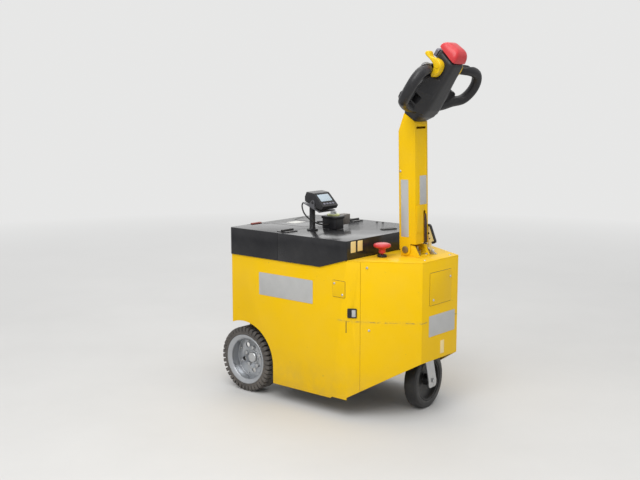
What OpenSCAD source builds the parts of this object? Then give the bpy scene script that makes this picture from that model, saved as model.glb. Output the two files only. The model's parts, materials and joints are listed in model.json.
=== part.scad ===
// Walk-behind electric tug: two driven wheels and a coupling at the front, one castor and an
// upright tiller at the rear. Millimetres, +Z up, +X to the tug's left, -Y towards the coupling.
// Every piece is placed from the rear edge of the lid, then the whole is centred over the origin.

/* [Body shell] */
// Width over the two side panels
body_w = 475; // [440:5:540]
// Length of the straight body, from the front panel to the corner of the nose
body_l = 543; // [520:1:620]
// Length of the tapered nose behind the lid
nose_l = 217; // [200:1:250]
// Width of the flat rear face of the nose
nose_face_w = 216; // [190:2:240]
// Height of the deck over the floor
deck_h = 548; // [530:1:600]
// Gap under the side panels
ground_clear = 60; // [40:1:75]
// Height of the raised heel of the side panel
heel_h = 66; // [55:1:80]
// Length of the raised heel of the side panel
heel_l = 70; // [50:1:100]
// Height of the nose's lower edge at the corner
nose_toe_h = 74; // [66:1:90]
// Height of the nose's lower edge at the rear face
nose_sill_h = 204; // [200:1:230]
// Height of the front panel's lower edge
front_sill_h = 190; // [180:1:230]
// Thickness of the folded sheet panels
sheet_t = 3; // [2:0.5:4]
// Width of the side panel's flange that wraps onto the nose
wrap_w = 46; // [30:1:60]
// Gap between the tyre and the wheel arch
arch_clear = 26.5; // [15:0.5:35]
// Distance of the drive axle behind the front panel
axle_setback = 56; // [50:1:80]

/* [Hatches and latch] */
// Width of the small side hatch
side_hatch_w = 52; // [40:1:56]
// Height of the small side hatch
side_hatch_h = 55; // [40:1:70]
// Height of the small side hatch's centre over the floor
side_hatch_z = 448; // [420:1:470]
// Width of the rear hatch
rear_hatch_w = 128; // [100:1:160]
// Height of the rear hatch
rear_hatch_h = 110; // [80:1:130]
// Height of the rear hatch's centre over the floor
rear_hatch_z = 451; // [430:1:470]
// Thickness of the hatch plates
hatch_t = 2; // [1.5:0.5:3]
// Height of the corner latch over the floor
latch_z = 370; // [340:1:400]
// Side of the square latch body
latch_w = 32; // [26:1:36]

/* [Lid] */
// Overhang of the lid past each side panel
lid_over = 4; // [3:0.5:6]
// Height of the lid's top over the deck
lid_rise = 65; // [55:1:80]
// Depth of the lid's side skirt
skirt_h = 99; // [90:1:110]
// Distance of the split between the two lid sections in front of the lid's rear edge
lid_split = 310; // [300:1:330]
// Wall of the moulded lid
lid_wall = 3; // [2.5:0.5:4]
// Radius of the lid's upright corners
lid_round = 8; // [5:1:15]
// Length of the ramp where the skirt rises to the deck
skirt_ramp = 116; // [80:1:140]
// Width of one lid hinge
hinge_w = 60; // [40:1:80]
// Length of one hinge leaf
hinge_leaf = 22; // [15:1:30]
// Distance of each hinge's middle from the middle of the lid
hinge_x = 190; // [150:1:200]
// Radius of the hinge knuckle
hinge_r = 5; // [4:0.5:6]
// Radius of the hinge pin
hinge_pin_r = 2.5; // [2:0.5:3]

/* [Drive wheels] */
// Outer diameter of the tyre
tyre_d = 242; // [220:1:260]
// Width of the tyre
tyre_w = 76; // [60:1:80]
// Diameter of the rim's outer lip
rim_d = 186; // [170:1:196]
// Distance of the wheel's outer face inside the side panel's outer face
wheel_inset = 6; // [2:1:12]
// Number of tread blocks on each shoulder
lug_count = 40; // [32:1:44]
// Depth of the grooves between the tread blocks
lug_depth = 6; // [4:0.5:8]
// Width of the grooves between the tread blocks
lug_gap = 6; // [4:0.5:7]
// Distance of the wheel disc behind the wheel's outer face
dish_depth = 46; // [30:1:50]
// Diameter of the hub's end cap
hub_cap_d = 40; // [34:1:46]
// Diameter of the drive shaft
shaft_d = 30; // [24:1:34]

/* [Castor] */
// Width of the castor wheel
castor_w = 48; // [35:1:50]
// Height of the whole castor
castor_h = 238; // [220:1:250]
// Room over the castor's wheel for its crown, race and plate
castor_room = 38; // [36:1:44]
// Offset of the castor wheel's axle from the swivel axis
castor_trail = 50; // [40:1:60]
// Distance of the swivel axis behind the lid
castor_y = 124; // [118:1:130]
// Angle by which the castor is turned in the rest pose
castor_turn = 95; // [0:1:359]
// Width of the fork's legs
fork_leg_w = 52; // [46:1:60]
// Thickness of the fork's legs
fork_leg_t = 6; // [4:0.5:7]

/* [Tiller] */
// Width of the tiller column
column_w = 74; // [68:1:80]
// Depth of the tiller column in front of the pivot
column_front = 25; // [22:1:28]
// Depth of the tiller column behind the pivot
column_rear = 42.5; // [40:0.5:46]
// Wall of the folded column
column_t = 3; // [2.5:0.5:4]
// Lean of the column towards the front in the rest pose
column_lean = 1.5; // [0:0.5:4]
// Distance of the tiller pivot behind the lid
pivot_y = 96; // [90:1:104]
// Height of the tiller pivot over the deck
pivot_rise = 23; // [22:1:28]
// Radius of the pivot lugs
lug_r = 20; // [18:1:21]
// Radius of the tiller pivot pin
pivot_r = 8; // [6:0.5:9]
// Height of the head's seat over the pivot
head_seat_h = 443; // [400:1:470]
// Tilt of the head against the column
head_tilt = 34.5; // [25:0.5:40]

/* [Tiller head] */
// Length of the head's body from its seat to its end
head_l = 242; // [220:1:260]
// Reach of the grip loops from the middle of the head
loop_reach = 188; // [180:1:200]
// Radius of the grip loops in their own plane
loop_r = 17; // [14:1:19]
// Half thickness of the grip loops across their plane
loop_half_t = 18; // [16:1:20]
// Travel of the safety button at the end of the head
belly_travel = 5; // [3:0.5:6]
// Width of the safety button
belly_w = 74; // [66:1:78]
// Depth of the safety button
belly_d = 77; // [68:1:80]
// Height of the safety button's dome
belly_h = 28; // [24:1:34]
// Width of one throttle wing
wing_w = 26; // [20:1:30]
// Reach of the throttle wings from their axis
wing_reach = 60; // [54:1:64]

/* [Controls] */
// Diameter of the emergency stop's head
estop_d = 60; // [50:1:64]
// Side shift of the emergency stop from the middle
estop_x = 100; // [90:1:106]
// Distance of the emergency stop behind the lid
estop_y = 44; // [40:1:50]
// Side shift of the display post from the middle
post_x = 103; // [90:1:115]
// Distance of the display post in front of the lid's rear edge
post_y = 267; // [260:1:272]
// Height of the display post
post_h = 98; // [90:1:110]
// Width of the display unit
display_w = 83; // [70:1:90]
// Length of the display unit's face
display_l = 62; // [56:1:66]
// Depth of the display unit behind its face
display_t = 49; // [44:1:52]
// Tilt of the display's face
display_tilt = 45; // [30:1:55]
// Radius of the key pod
pod_r = 35; // [30:1:40]
// Height of the key pod
pod_h = 47; // [40:1:52]
// Distance of the key pod's middle in front of the lid's rear edge
pod_y = 236; // [230:1:245]

/* [Coupling] */
// Height of the coupling jaw's middle over the floor
jaw_z = 290; // [285:1:295]
// Opening of the coupling jaw
jaw_gap = 40; // [34:1:46]
// Width of the coupling jaw
jaw_w = 80; // [70:1:90]
// Thickness of the jaw's plates
jaw_t = 10; // [8:1:12]
// Reach of the coupling pin in front of the front panel
jaw_reach = 92; // [85:1:100]
// Radius of the coupling pin
coupling_r = 10; // [8:0.5:12]
// Travel of the coupling pin
coupling_lift = 58; // [50:1:62]
// Radius of the coupling rail's bolt holes
rail_hole_r = 5.5; // [4.5:0.5:6.5]

/* [Fits] */
// Radial running fit of shafts and pins
fit = 0.05; // [0.02:0.01:0.09]
// Gap between pieces that move past each other
gap = 0.5; // [0.4:0.1:0.8]
// Gap between pieces that only rest on each other
seat = 0.3; // [0.2:0.05:0.4]

/* [Hidden] */
$fn = 64;

// Overrun of every cutting shape past the face that it cuts
over = 1;

// Body outline
half_w = body_w / 2;
nose_half = nose_face_w / 2;
nose_run = half_w - nose_half;
nose_angle = atan2(nose_run, nose_l);
nose_side = sqrt(nose_run * nose_run + nose_l * nose_l);
nose_turn = 90 - nose_angle;
deck_t = sheet_t;
lid_top = deck_h + lid_rise;
skirt_z = lid_top - skirt_h;
panel_top = lid_top - lid_wall - seat;
axle_y = axle_setback - body_l;
axle_z = tyre_d / 2;
arch_r = tyre_d / 2 + arch_clear;

// Places of the chassis pieces
rail_t = 4;
rail_low = 66;
rail_high = 300;
rail_front = 8;
rail_rear = 24;
tray_t = 4;
tray_wall = 40;
bridge_t = 8;
bridge_half = 84;
bridge_rib_t = 6;
bridge_rib_h = 46;
bridge_front = 60;
bridge_rear = 12;
tray_rear = -bridge_front - seat;
cross_h = 240;
cross_t = 5;
cross_z = 195;

// Gap between pieces of the shell where a seam shows
seam = 0.6;

// Wheel and drive line
wheel_out = half_w - wheel_inset;
wheel_mid = wheel_out - tyre_w / 2;
tyre_wall = (tyre_d - rim_d) / 2;
rim_lip_t = 4;
barrel_drop = 8;
barrel_wall = 9;
barrel_r = rim_d / 2 - barrel_drop;
barrel_in_r = barrel_r - barrel_wall;
disc_t = 6;
disc_x = wheel_out - dish_depth;
rail_gap = 13.5;
rail_x = wheel_out - tyre_w - rail_gap;
boss_r = 26;
shoulder_w = 24;
tread_round = 8;
nut_circle_r = 36;
nut_count = 5;
nut_r = 8;
nut_h = 8;
vent_r = 9;
vent_circle_r = 52;
clamp_circle_r = 67;
clamp_count = 8;
clamp_r = 5;
clamp_h = 5;
tube_r = 32;
case_r = 52;
case_half = 48;
flange_r = 46;
flange_t = 8;
motor_r = 46;
motor_h = 170;
motor_foot = 46;
terminal_r = 6;
terminal_h = 16;
shaft_in = 70;

// Batteries and controller
battery_side = 9;
battery_w = 2 * (rail_x - rail_t / 2 - battery_side);
battery_l = 160;
battery_h = 214;
battery_gap = 6;
pole_r = 8;
pole_h = 14;
pole_in = 30;
controller_side = 40;
controller_w = 2 * (rail_x - rail_t / 2 - controller_side);
controller_l = 140;
controller_h = 50;
controller_base = 8;
controller_z = 300;
fin_t = 4;
fin_pitch_share = 0.06;
fin_pitch = fin_pitch_share * controller_w;
fin_count = 14;
shelf_t = 4;

// Castor
plate_w = 105;
plate_l = 85;
plate_t = 6;
race_r = 34;
race_h = 10;
king_r = 8;
king_l = 24;
crown_t = 12;
castor_axle_r = 5;
plate_hole_r = 5;
plate_bolt_r = 8;
plate_bolt_h = 5;
castor_d = castor_h - castor_room;
castor_tyre_t = 26;
castor_hub_r = castor_d / 2 - castor_tyre_t;
castor_web = 12;
castor_boss_r = 20;
castor_head_r = 8;
castor_head_h = 5;
leg_gap = 8;
leg_foot_drop = 24;
leg_foot_round = 12;
leg_lean = 39;
tyre_edge = 3;

// Tiller base and column
pin_head_r = 12;
pin_head_t = 4;
ear_t = 6;
ear_top = 18;
bracket_front = 22;
bracket_rear = 54;
bracket_plate_t = 4;
ear_slope_y = 34;
ear_slope_z = 15;
column_foot = 20;
column_slant = 40;
column_notch = 24;
head_seat_y = 43;
head_foot = 8;
slot_w = 14;
slot_x = 11;
slot_h = 113;
cross_slot_w = 54;
cross_slot_h = 7;
cross_slot_z = 410;
cover_w = 34;
cover_h = 92;
cover_t = 2.5;
cover_x = 16;
cover_z = 60;
buffer_r = 10;
buffer_h = 7;
buffer_z = 334;
stop_r = 4;
stop_h = 33;
stop_x = 15;
stop_y = 34;
stop_nut_r = 7;
stop_nut_h = 5;

// Lever beside the column
lever_x = 46;
lever_t = 4;
lever_y = 137;
lever_z = 19;
lever_pin_r = 4;
lever_foot_r = 9;
lever_l = 76;
lever_w = 30;
lever_foot_l = 20;
lever_neck = 16;
lever_lean = 22;
grip_t = 6;
grip_w = 6.5;
stand_t = 3;
stand_l = 34;
stand_foot = 22;
stand_h = 19;

// Tiller head
axis_v_share = 0.84;
wing_axis_w = -6;
wing_gap = 1.828;
wing_shaft_r = 6;
split_w = 4;
head_gap = 0.1;
pocket_w = 46;
pocket_d = 40;
pocket_depth = 22;
belly_lift = 6;
belly_w0 = -14;
belly_slope = -0.195;
horn_w = 50;
horn_l = 27;
horn_in = 21;
horn_h = 14.5;
horn_lift = 0.826;
horn_stem_w = 30;
horn_stem_l = 14;
horn_stem = 7;
horn_round = 6;
horn_travel = 2.5;
diamond_side = 26;
diamond_depth = 7;
diamond_v = 58;
diamond_w = -34;

// Controls on the lid and the deck
estop_base_r = 16;
estop_base_h = 8;
estop_stem_r = 14;
estop_stem_h = 26;
estop_head_h = 14;
estop_crown = 12;
estop_bore_r = 6;
post_r = 8.5;
post_foot_r = 20;
post_foot_h = 5;
cradle_t = 3;
cradle_slope = 21;
cradle_back = 9;
cradle_l = 84;
cradle_y = 34;
cradle_z = 20;
cradle_r = 9;
display_pin_r = 5;
display_bezel = 5;
display_recess = 1.5;
pod_x = 22;
pod_back = 34;
pod_round = 10;
pod_plug_x = 80;
pod_plug_l = 26;
pod_plug_z = 11;
pod_ring_r = 23;
pod_ring_w = 6;
pod_ring_h = 6;
key_r = 12;
key_h = 7;
key_grip_t = 5;
key_grip_h = 9;
key_pin_r = 5;
key_pin_l = 8;

// Coupling
rail_plate_w = 104;
rail_plate_t = 8;
rail_plate_low = 215;
rail_plate_high = 440;
rail_holes_x = 76;
rail_pitch = 40;
rail_hole_low = 250;
rail_row_shares = [0, 2, 3, 4];
foot_row_shares = [0, 2];
foot_w = 100;
foot_h = 116;
foot_t = 8;
cheek_t = 8;
cheek_l = 40;
pin_below = 12;
pin_above = 14;
pin_collar_r = 15;
pin_collar_h = 8;
pin_bar_r = 5;
pin_bar_l = 64;
pin_bar_rise = 12;
bolt_head_r = 9;
bolt_head_h = 6;

// Latch
latch_t = 3;
latch_turn_r = 10;
latch_turn_h = 4;
latch_pin_r = 4;
latch_key_l = 16;
latch_reach = 31;
latch_key_w = 4;
latch_s = 19;

// Distance of the side hatch's middle in front of the corner of the nose
side_hatch_y = 33;

// Reach of the part in front of and behind the rear edge of the lid, and the shift to its middle
front_reach = body_l + jaw_reach + jaw_w / 2;
rear_reach = 279.8;
shift_y = (front_reach - rear_reach) / 2;

// Corner of the nose outline moved inwards by t, on the +X side
function nose_corner(t) = [half_w - t, -t * tan(nose_angle / 2)];
function nose_tip(t) = [nose_half - t * tan(nose_turn / 2), nose_l - t];
function nose_plan(t, back) = [
    [half_w - t, -back], nose_corner(t), nose_tip(t),
    [-nose_tip(t)[0], nose_tip(t)[1]], [-nose_corner(t)[0], nose_corner(t)[1]],
    [t - half_w, -back]];

// Point on a Catmull-Rom curve through p1 and p2
function curve_point(p0, p1, p2, p3, t) =
    (2 * p1 + t * (p2 - p0) + t * t * (2 * p0 - 5 * p1 + 4 * p2 - p3)
    + t * t * t * (3 * p1 - p0 - 3 * p2 + p3)) / 2;
function curve(p, steps) = concat(
    [for (i = [0 : len(p) - 2], k = [0 : steps - 1])
        curve_point(p[max(i - 1, 0)], p[i], p[i + 1], p[min(i + 2, len(p) - 1)], k / steps)],
    [p[len(p) - 1]]);
function unit(v) = v / norm(v);

// Faces of a tube of rings with n points each, closed at both ends
function skin_faces(rings, n) = concat(
    [[for (j = [0 : n - 1]) j]],
    [for (i = [0 : rings - 2], j = [0 : n - 1], half = [0 : 1])
        half == 0
            ? [i * n + j, (i + 1) * n + j, i * n + (j + 1) % n]
            : [(i + 1) * n + j, (i + 1) * n + (j + 1) % n, i * n + (j + 1) % n]],
    [[for (j = [n - 1 : -1 : 0]) (rings - 1) * n + j]]);

// Centred in x and placed over the origin: the frame that every piece shares
module row() {
    translate([0, shift_y, 0]) children();
}

// Profile drawn in (y, z) and given a thickness from x0 towards +X
module side_profile(x0, t) {
    translate([x0, 0, 0]) rotate([90, 0, 90]) linear_extrude(t) children();
}

// Profile drawn in (x, z) and given a thickness from y0 towards +Y
module front_profile(y0, t) {
    translate([0, y0 + t, 0]) rotate([90, 0, 0]) linear_extrude(t) children();
}

module centred_box(size) {
    translate([-size[0] / 2, -size[1] / 2, 0]) cube(size);
}

// Rectangle with round corners, centred
module round_rect(w, l, r) {
    square([w - 2 * r, l], center = true);
    square([w, l - 2 * r], center = true);
    for (x = [-1, 1], y = [-1, 1]) translate([x * (w / 2 - r), y * (l / 2 - r)]) circle(r);
}

module rod_x(r, x0, x1) {
    translate([x0, 0, 0]) rotate([0, 90, 0]) cylinder(h = x1 - x0, r = r);
}

module rod_y(r, y0, y1) {
    translate([0, y0, 0]) rotate([-90, 0, 0]) cylinder(h = y1 - y0, r = r);
}

// Chassis
module rail() {
    difference() {
        side_profile(rail_x - rail_t / 2, rail_t) polygon([
            [rail_front - body_l, front_sill_h], [rail_front - body_l, rail_high],
            [-rail_rear, rail_high], [-rail_rear, castor_h],
            [-rail_rear - wrap_w, rail_low], [axle_y - case_r, rail_low],
            [axle_y - case_r, front_sill_h]]);
        translate([0, axle_y, axle_z]) rod_x(tube_r + fit, rail_x - rail_t, rail_x + rail_t);
    }
}

module front_crossmember() {
    y0 = sheet_t + seat - body_l;
    inner = rail_x - rail_t / 2 - seat;
    difference() {
        translate([-inner, y0, cross_z]) cube([2 * inner, cross_t, cross_h]);
        coupling_holes(y0 - over, cross_t + 2 * over, rail_row_shares);
    }
    for (x = [-inner, inner - cross_t])
        translate([x, y0, cross_z]) cube([cross_t, rail_front + rail_rear, rail_high - cross_z]);
}

module castor_bridge() {
    y0 = -rail_rear + seat;
    difference() {
        translate([-bridge_half, -bridge_front, castor_h])
            cube([2 * bridge_half, bridge_front + nose_l - bridge_rear, bridge_t]);
        plate_places() translate([0, 0, -over])
            cylinder(h = bridge_t + 2 * over, r = plate_hole_r);
    }
    for (x = [-bridge_half, bridge_half - bridge_rib_t])
        translate([x, -bridge_front, castor_h + bridge_t])
            cube([bridge_rib_t, bridge_front + nose_l - bridge_rear, bridge_rib_h]);
    for (m = [0, 1]) mirror([m, 0, 0])
        translate([bridge_half, y0, castor_h])
            cube([rail_x + rail_t / 2 - bridge_half, bridge_t, bridge_t + bridge_rib_h]);
}

module battery_tray() {
    inner = rail_x - rail_t / 2 - seat;
    tray_l = 2 * battery_l + battery_gap + 2 * tray_t + 2 * gap;
    translate([-inner, tray_rear - tray_l, rail_low]) cube([2 * inner, tray_l, tray_t]);
    for (y = [tray_rear - tray_l, tray_rear - tray_t])
        translate([-inner, y, rail_low + tray_t]) cube([2 * inner, tray_t, tray_wall]);
}

// Slanted cut under the nose
module nose_cut() {
    slope = (nose_sill_h - nose_toe_h) / nose_l;
    side_profile(-body_w, 2 * body_w) polygon([
        [-nose_l, -over], [-nose_l, nose_toe_h - slope * nose_l],
        [2 * nose_l, nose_sill_h + slope * nose_l], [2 * nose_l, -over]]);
}

// Wall of the nose outline: the folded sheet seen from above
module nose_wall(low, high) {
    translate([0, 0, low]) linear_extrude(high - low) difference() {
        polygon(nose_plan(0, wrap_w));
        polygon(nose_plan(sheet_t, wrap_w + over));
    }
}

// Stretch of the +X nose face between two distances from the corner
module nose_stretch(s0, s1) {
    translate([half_w, 0, 0]) rotate([0, 0, nose_angle])
        translate([-nose_run, s0, 0]) cube([2 * nose_run, s1 - s0, 2 * deck_h]);
}

module side_panel() {
    difference() {
        side_profile(half_w - sheet_t, sheet_t) polygon([
            [-body_l, ground_clear], [-heel_l, ground_clear], [-heel_l + heel_h - ground_clear,
            heel_h], [0, heel_h], [0, deck_h - deck_t - seat], [-lid_wall - gap - sheet_t,
            deck_h - deck_t - seat], [-lid_wall - gap - sheet_t, panel_top],
            [-body_l, panel_top]]);
        side_profile(half_w - sheet_t - over, sheet_t + 2 * over) {
            translate([axle_y, axle_z]) circle(arch_r);
            translate([axle_y - arch_r, -over]) square([2 * arch_r, axle_z + over]);
        }
    }
    difference() {
        intersection() {
            nose_wall(heel_h, deck_h - deck_t - seat);
            nose_stretch(0, wrap_w);
        }
        nose_cut();
        latch_seat(gap);
    }
}

module front_panel() {
    inner = half_w - sheet_t - seat;
    well_x = wheel_out - tyre_w - rail_front;
    difference() {
        front_profile(-body_l, sheet_t) polygon([
            [-inner, axle_z + arch_r], [-well_x, axle_z + arch_r], [-well_x, front_sill_h],
            [well_x, front_sill_h], [well_x, axle_z + arch_r], [inner, axle_z + arch_r],
            [inner, panel_top], [-inner, panel_top]]);
        coupling_holes(-body_l - over, sheet_t + 2 * over, rail_row_shares);
    }
}

module nose_cover() {
    difference() {
        nose_wall(nose_toe_h, deck_h - deck_t);
        nose_cut();
        for (m = [0, 1]) mirror([m, 0, 0]) nose_stretch(-nose_side, wrap_w + seam);
        translate([-half_w, -wrap_w - over, 0]) cube([body_w, wrap_w + over, 2 * deck_h]);
    }
}

module deck_plate() {
    translate([0, 0, deck_h - deck_t]) linear_extrude(deck_t) difference() {
        polygon(nose_plan(0, wrap_w));
        for (m = [0, 1]) mirror([m, 0])
            translate([half_w - sheet_t - seat, -wrap_w - over])
                square([sheet_t + seat + over, wrap_w + over]);
    }
}

// Plate of a hatch, lying on a face that looks along +Y
module hatch(w, h) {
    rotate([90, 0, 0]) linear_extrude(hatch_t) round_rect(w, h, hatch_t);
}

module side_hatch() {
    translate([half_w, -side_hatch_y, side_hatch_z]) rotate([0, 0, -90])
        translate([0, hatch_t, 0]) hatch(side_hatch_w, side_hatch_h);
}

module rear_hatch() {
    translate([0, nose_l + hatch_t, rear_hatch_z]) hatch(rear_hatch_w, rear_hatch_h);
}

// Frame of the latch: on the +X nose face, its own +Y pointing out
module on_nose(s, z) {
    translate([half_w, 0, 0]) rotate([0, 0, nose_angle]) translate([0, s, z])
        rotate([0, 0, -90]) children();
}

module latch_seat(grow) {
    on_nose(latch_s, latch_z) rod_y(latch_pin_r + grow, -2 * sheet_t, 2 * sheet_t);
}

module panel_latch() {
    on_nose(latch_s, latch_z) {
        difference() {
            translate([0, seat, 0]) rotate([-90, 0, 0]) linear_extrude(latch_t)
                round_rect(latch_w, latch_w, latch_t);
            translate([-latch_key_l / 2, latch_t + seat - over, -latch_key_w / 2])
                cube([latch_key_l, 2 * over, latch_key_w]);
        }
        rod_y(latch_pin_r, -sheet_t - latch_turn_h, over);
        translate([-latch_reach, -sheet_t - latch_turn_h - latch_t, -latch_pin_r])
            cube([latch_reach + latch_turn_r, latch_t, 2 * latch_pin_r]);
    }
}

// Lid
module lid_shell(y0, y1, rear_wall, front_wall) {
    w = body_w + 2 * lid_over;
    l = y1 - y0;
    in0 = front_wall ? lid_wall : -over;
    in1 = rear_wall ? lid_wall : -over;
    difference() {
        translate([0, (y0 + y1) / 2, skirt_z]) linear_extrude(skirt_h) difference() {
            union() {
                round_rect(w, l, lid_round);
                if (!rear_wall) translate([-w / 2, 0]) square([w, l / 2]);
                if (!front_wall) translate([-w / 2, -l / 2]) square([w, l / 2]);
            }
        }
        translate([0, 0, skirt_z - over]) linear_extrude(skirt_h - lid_wall + over)
            translate([lid_wall - w / 2, y0 + in0]) square([w - 2 * lid_wall, l - in0 - in1]);
    }
}

module lid_rear() {
    ramp0 = -skirt_ramp;
    difference() {
        lid_shell(-lid_split + gap, 0, true, false);
        side_profile(-body_w, 2 * body_w) polygon([
            [ramp0, skirt_z - over], [ramp0, skirt_z], [-lid_wall, deck_h + seat],
            [over, deck_h + seat], [over, skirt_z - over]]);
    }
}

module lid_front() {
    lid_shell(-body_l - lid_over - seat, -lid_split - gap, false, true);
}

// Hinge line of the front lid section
hinge_z = lid_top + hinge_r;

module hinge_leaf_plate(side) {
    y0 = side > 0 ? hinge_r * 0.4 : -hinge_leaf;
    translate([-hinge_w / 2, y0, -hinge_r])
        cube([hinge_w, hinge_leaf - hinge_r * 0.4, hinge_pin_r]);
}

// One part of a knuckle, joined to its leaf by a short web
module knuckle(x0, x1, side) {
    rod_x(hinge_r - over, x0, x1);
    translate([x0, side > 0 ? 0 : -hinge_r, -hinge_r]) cube([x1 - x0, hinge_r, hinge_pin_r]);
}

module hinge_fixed() {
    third = hinge_w / 6;
    for (x = [-hinge_x, hinge_x]) translate([x, -lid_split, hinge_z]) {
        difference() {
            union() {
                hinge_leaf_plate(1);
                knuckle(-third + gap, third - gap, 1);
            }
            for (m = [-1, 1]) translate([m * 2 * third, 0, 0])
                rod_x(hinge_r, -third - gap, third + gap);
        }
        rod_x(hinge_pin_r, -hinge_w / 2, hinge_w / 2);
    }
}

module hinge_moving() {
    third = hinge_w / 6;
    for (x = [-hinge_x, hinge_x]) translate([x, -lid_split, hinge_z]) difference() {
        union() {
            hinge_leaf_plate(-1);
            for (m = [-1, 1]) translate([m * 2 * third, 0, 0]) knuckle(-third, third, -1);
        }
        rod_x(hinge_r, -third, third);
        rod_x(hinge_pin_r + fit, -hinge_w, hinge_w);
    }
}

// Display on its post. cradle_frame lies on the post's slanted top, its +Z out of the plate.
module cradle_frame() {
    translate([post_x, -post_y, lid_top + post_h]) rotate([-cradle_slope, 0, 0]) children();
}

module display_post() {
    translate([post_x, -post_y, lid_top]) cylinder(h = post_foot_h, r = post_foot_r);
    difference() {
        translate([post_x, -post_y, lid_top]) cylinder(h = post_h + post_r, r = post_r);
        cradle_frame() translate([-post_foot_r, -post_foot_r, 0])
            cube([2 * post_foot_r, 2 * post_foot_r, post_foot_r]);
    }
}

module display_bracket() {
    inner = display_w / 2 + gap;
    cradle_frame() {
        translate([-inner - cradle_t, -cradle_back, 0])
            cube([2 * inner + 2 * cradle_t, cradle_l, cradle_t]);
        for (x = [-inner - cradle_t, inner]) difference() {
            side_profile(x, cradle_t) union() {
                translate([cradle_y, cradle_z]) circle(cradle_r);
                polygon([[cradle_y - 2 * cradle_r, 0], [cradle_y + 2 * cradle_r, 0],
                    [cradle_y + cradle_r, cradle_z], [cradle_y - cradle_r, cradle_z]]);
            }
            translate([0, cradle_y, cradle_z])
                rod_x(display_pin_r + fit, x - over, x + cradle_t + over);
        }
    }
}

// Side view of the display unit: place down its face and height over its pivot, as shares of
// the face's length and of the unit's depth
display_shares = [[-0.34, 0.51], [0.66, 0.51], [0.70, 0.22], [-0.05, -0.29], [-0.48, -0.49],
    [-0.66, -0.27], [-0.76, 0.10]];

module display_unit() {
    face = display_shares[0][1] * display_t;
    cradle_frame() translate([0, cradle_y, cradle_z]) {
        rotate([cradle_slope - display_tilt, 0, 0]) difference() {
            side_profile(-display_w / 2, display_w)
                polygon([for (p = display_shares) [p[0] * display_l, p[1] * display_t]]);
            translate([0, display_l * (display_shares[0][0] + 0.5), face - display_recess])
                linear_extrude(display_t) round_rect(display_w - 2 * display_bezel,
                    display_l - 3 * display_bezel, display_bezel / 2);
        }
        rod_x(display_pin_r, -display_w / 2 - gap - cradle_t, display_w / 2 + gap + cradle_t);
    }
}

// Key pod on the lid
module key_pod() {
    translate([pod_x, -pod_y, lid_top]) {
        difference() {
            linear_extrude(pod_h) union() {
                circle(pod_r);
                translate([0, -pod_back / 2]) round_rect(2 * pod_r, pod_r + pod_back, pod_round);
            }
            translate([0, 0, pod_h - key_pin_l]) cylinder(h = pod_h, r = key_pin_r + fit);
        }
        translate([-pod_plug_x, -pod_plug_l / 2, pod_plug_z])
            cube([pod_plug_x - pod_r + pod_round, pod_plug_l, pod_h - pod_plug_z]);
        translate([0, 0, pod_h]) difference() {
            cylinder(h = pod_ring_h, r = pod_ring_r);
            translate([0, 0, -over]) cylinder(h = pod_h, r = pod_ring_r - pod_ring_w);
        }
    }
}

module key_switch() {
    translate([pod_x, -pod_y, lid_top + pod_h + seat]) {
        cylinder(h = key_h, r = key_r);
        translate([-key_grip_t / 2, -key_r, key_h]) cube([key_grip_t, 2 * key_r, key_grip_h]);
        translate([0, 0, -key_pin_l]) cylinder(h = key_pin_l, r = key_pin_r);
    }
}

// Emergency stop
module estop_base() {
    translate([estop_x, estop_y, deck_h]) difference() {
        cylinder(h = estop_base_h, r = estop_base_r);
        translate([0, 0, sheet_t]) cylinder(h = estop_base_h, r = estop_bore_r + fit);
    }
}

module estop_button() {
    stem_z = estop_base_h + belly_lift;
    translate([estop_x, estop_y, deck_h]) {
        translate([0, 0, sheet_t + belly_lift]) cylinder(h = estop_base_h, r = estop_bore_r);
        translate([0, 0, stem_z]) rotate_extrude() polygon([
            [0, 0], [estop_stem_r, 0], [estop_stem_r * 0.9, estop_stem_h - stem_z],
            [estop_d / 2 - over, estop_stem_h - stem_z],
            [estop_d / 2, estop_stem_h - stem_z + over],
            [estop_d / 2, estop_stem_h - stem_z + estop_head_h * 0.6],
            [estop_d * 0.46, estop_stem_h - stem_z + estop_head_h],
            [estop_d * 0.34, estop_stem_h - stem_z + estop_head_h + estop_crown * 0.55],
            [estop_d * 0.18, estop_stem_h - stem_z + estop_head_h + estop_crown * 0.9],
            [0, estop_stem_h - stem_z + estop_head_h + estop_crown]]);
    }
}

// Tiller base. pivot_frame puts the pivot axis at the origin.
pivot_z = deck_h + pivot_rise;

module pivot_frame() {
    translate([0, pivot_y, pivot_z]) children();
}

module tiller_bracket() {
    half = column_w / 2 - column_t - gap;
    pivot_frame() {
        translate([-half, -bracket_front, -pivot_rise])
            cube([2 * half, bracket_front + bracket_rear, bracket_plate_t]);
        for (x = [-half, half - ear_t]) difference() {
            side_profile(x, ear_t) union() {
                circle(ear_top);
                polygon([[-ear_top, 0], [-bracket_front, bracket_plate_t - pivot_rise],
                    [bracket_rear, bracket_plate_t - pivot_rise], [ear_slope_y, ear_slope_z],
                    [0, ear_top]]);
            }
            rod_x(pivot_r + fit, x - over, x + ear_t + over);
        }
    }
}

module tiller_pin() {
    pivot_frame() {
        rod_x(pivot_r, -column_w / 2 - gap, column_w / 2 + gap);
        for (m = [0, 1]) mirror([m, 0, 0])
            rod_x(pin_head_r, column_w / 2 + gap, column_w / 2 + gap + pin_head_t);
    }
}

module stop_rod() {
    pivot_frame() translate([stop_x, stop_y, bracket_plate_t - pivot_rise]) {
        cylinder(h = stop_h, r = stop_r);
        hexagon(stop_nut_r, stop_nut_h);
    }
}

// Frame of the column: pivot axis at the origin, the column along its own +Z
module column_frame() {
    pivot_frame() rotate([column_lean, 0, 0]) children();
}

// Frame of the head on the column: its own +Z runs along the head
module head_frame() {
    column_frame() translate([0, head_seat_y, head_seat_h]) rotate([-head_tilt, 0, 0])
        children();
}

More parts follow.
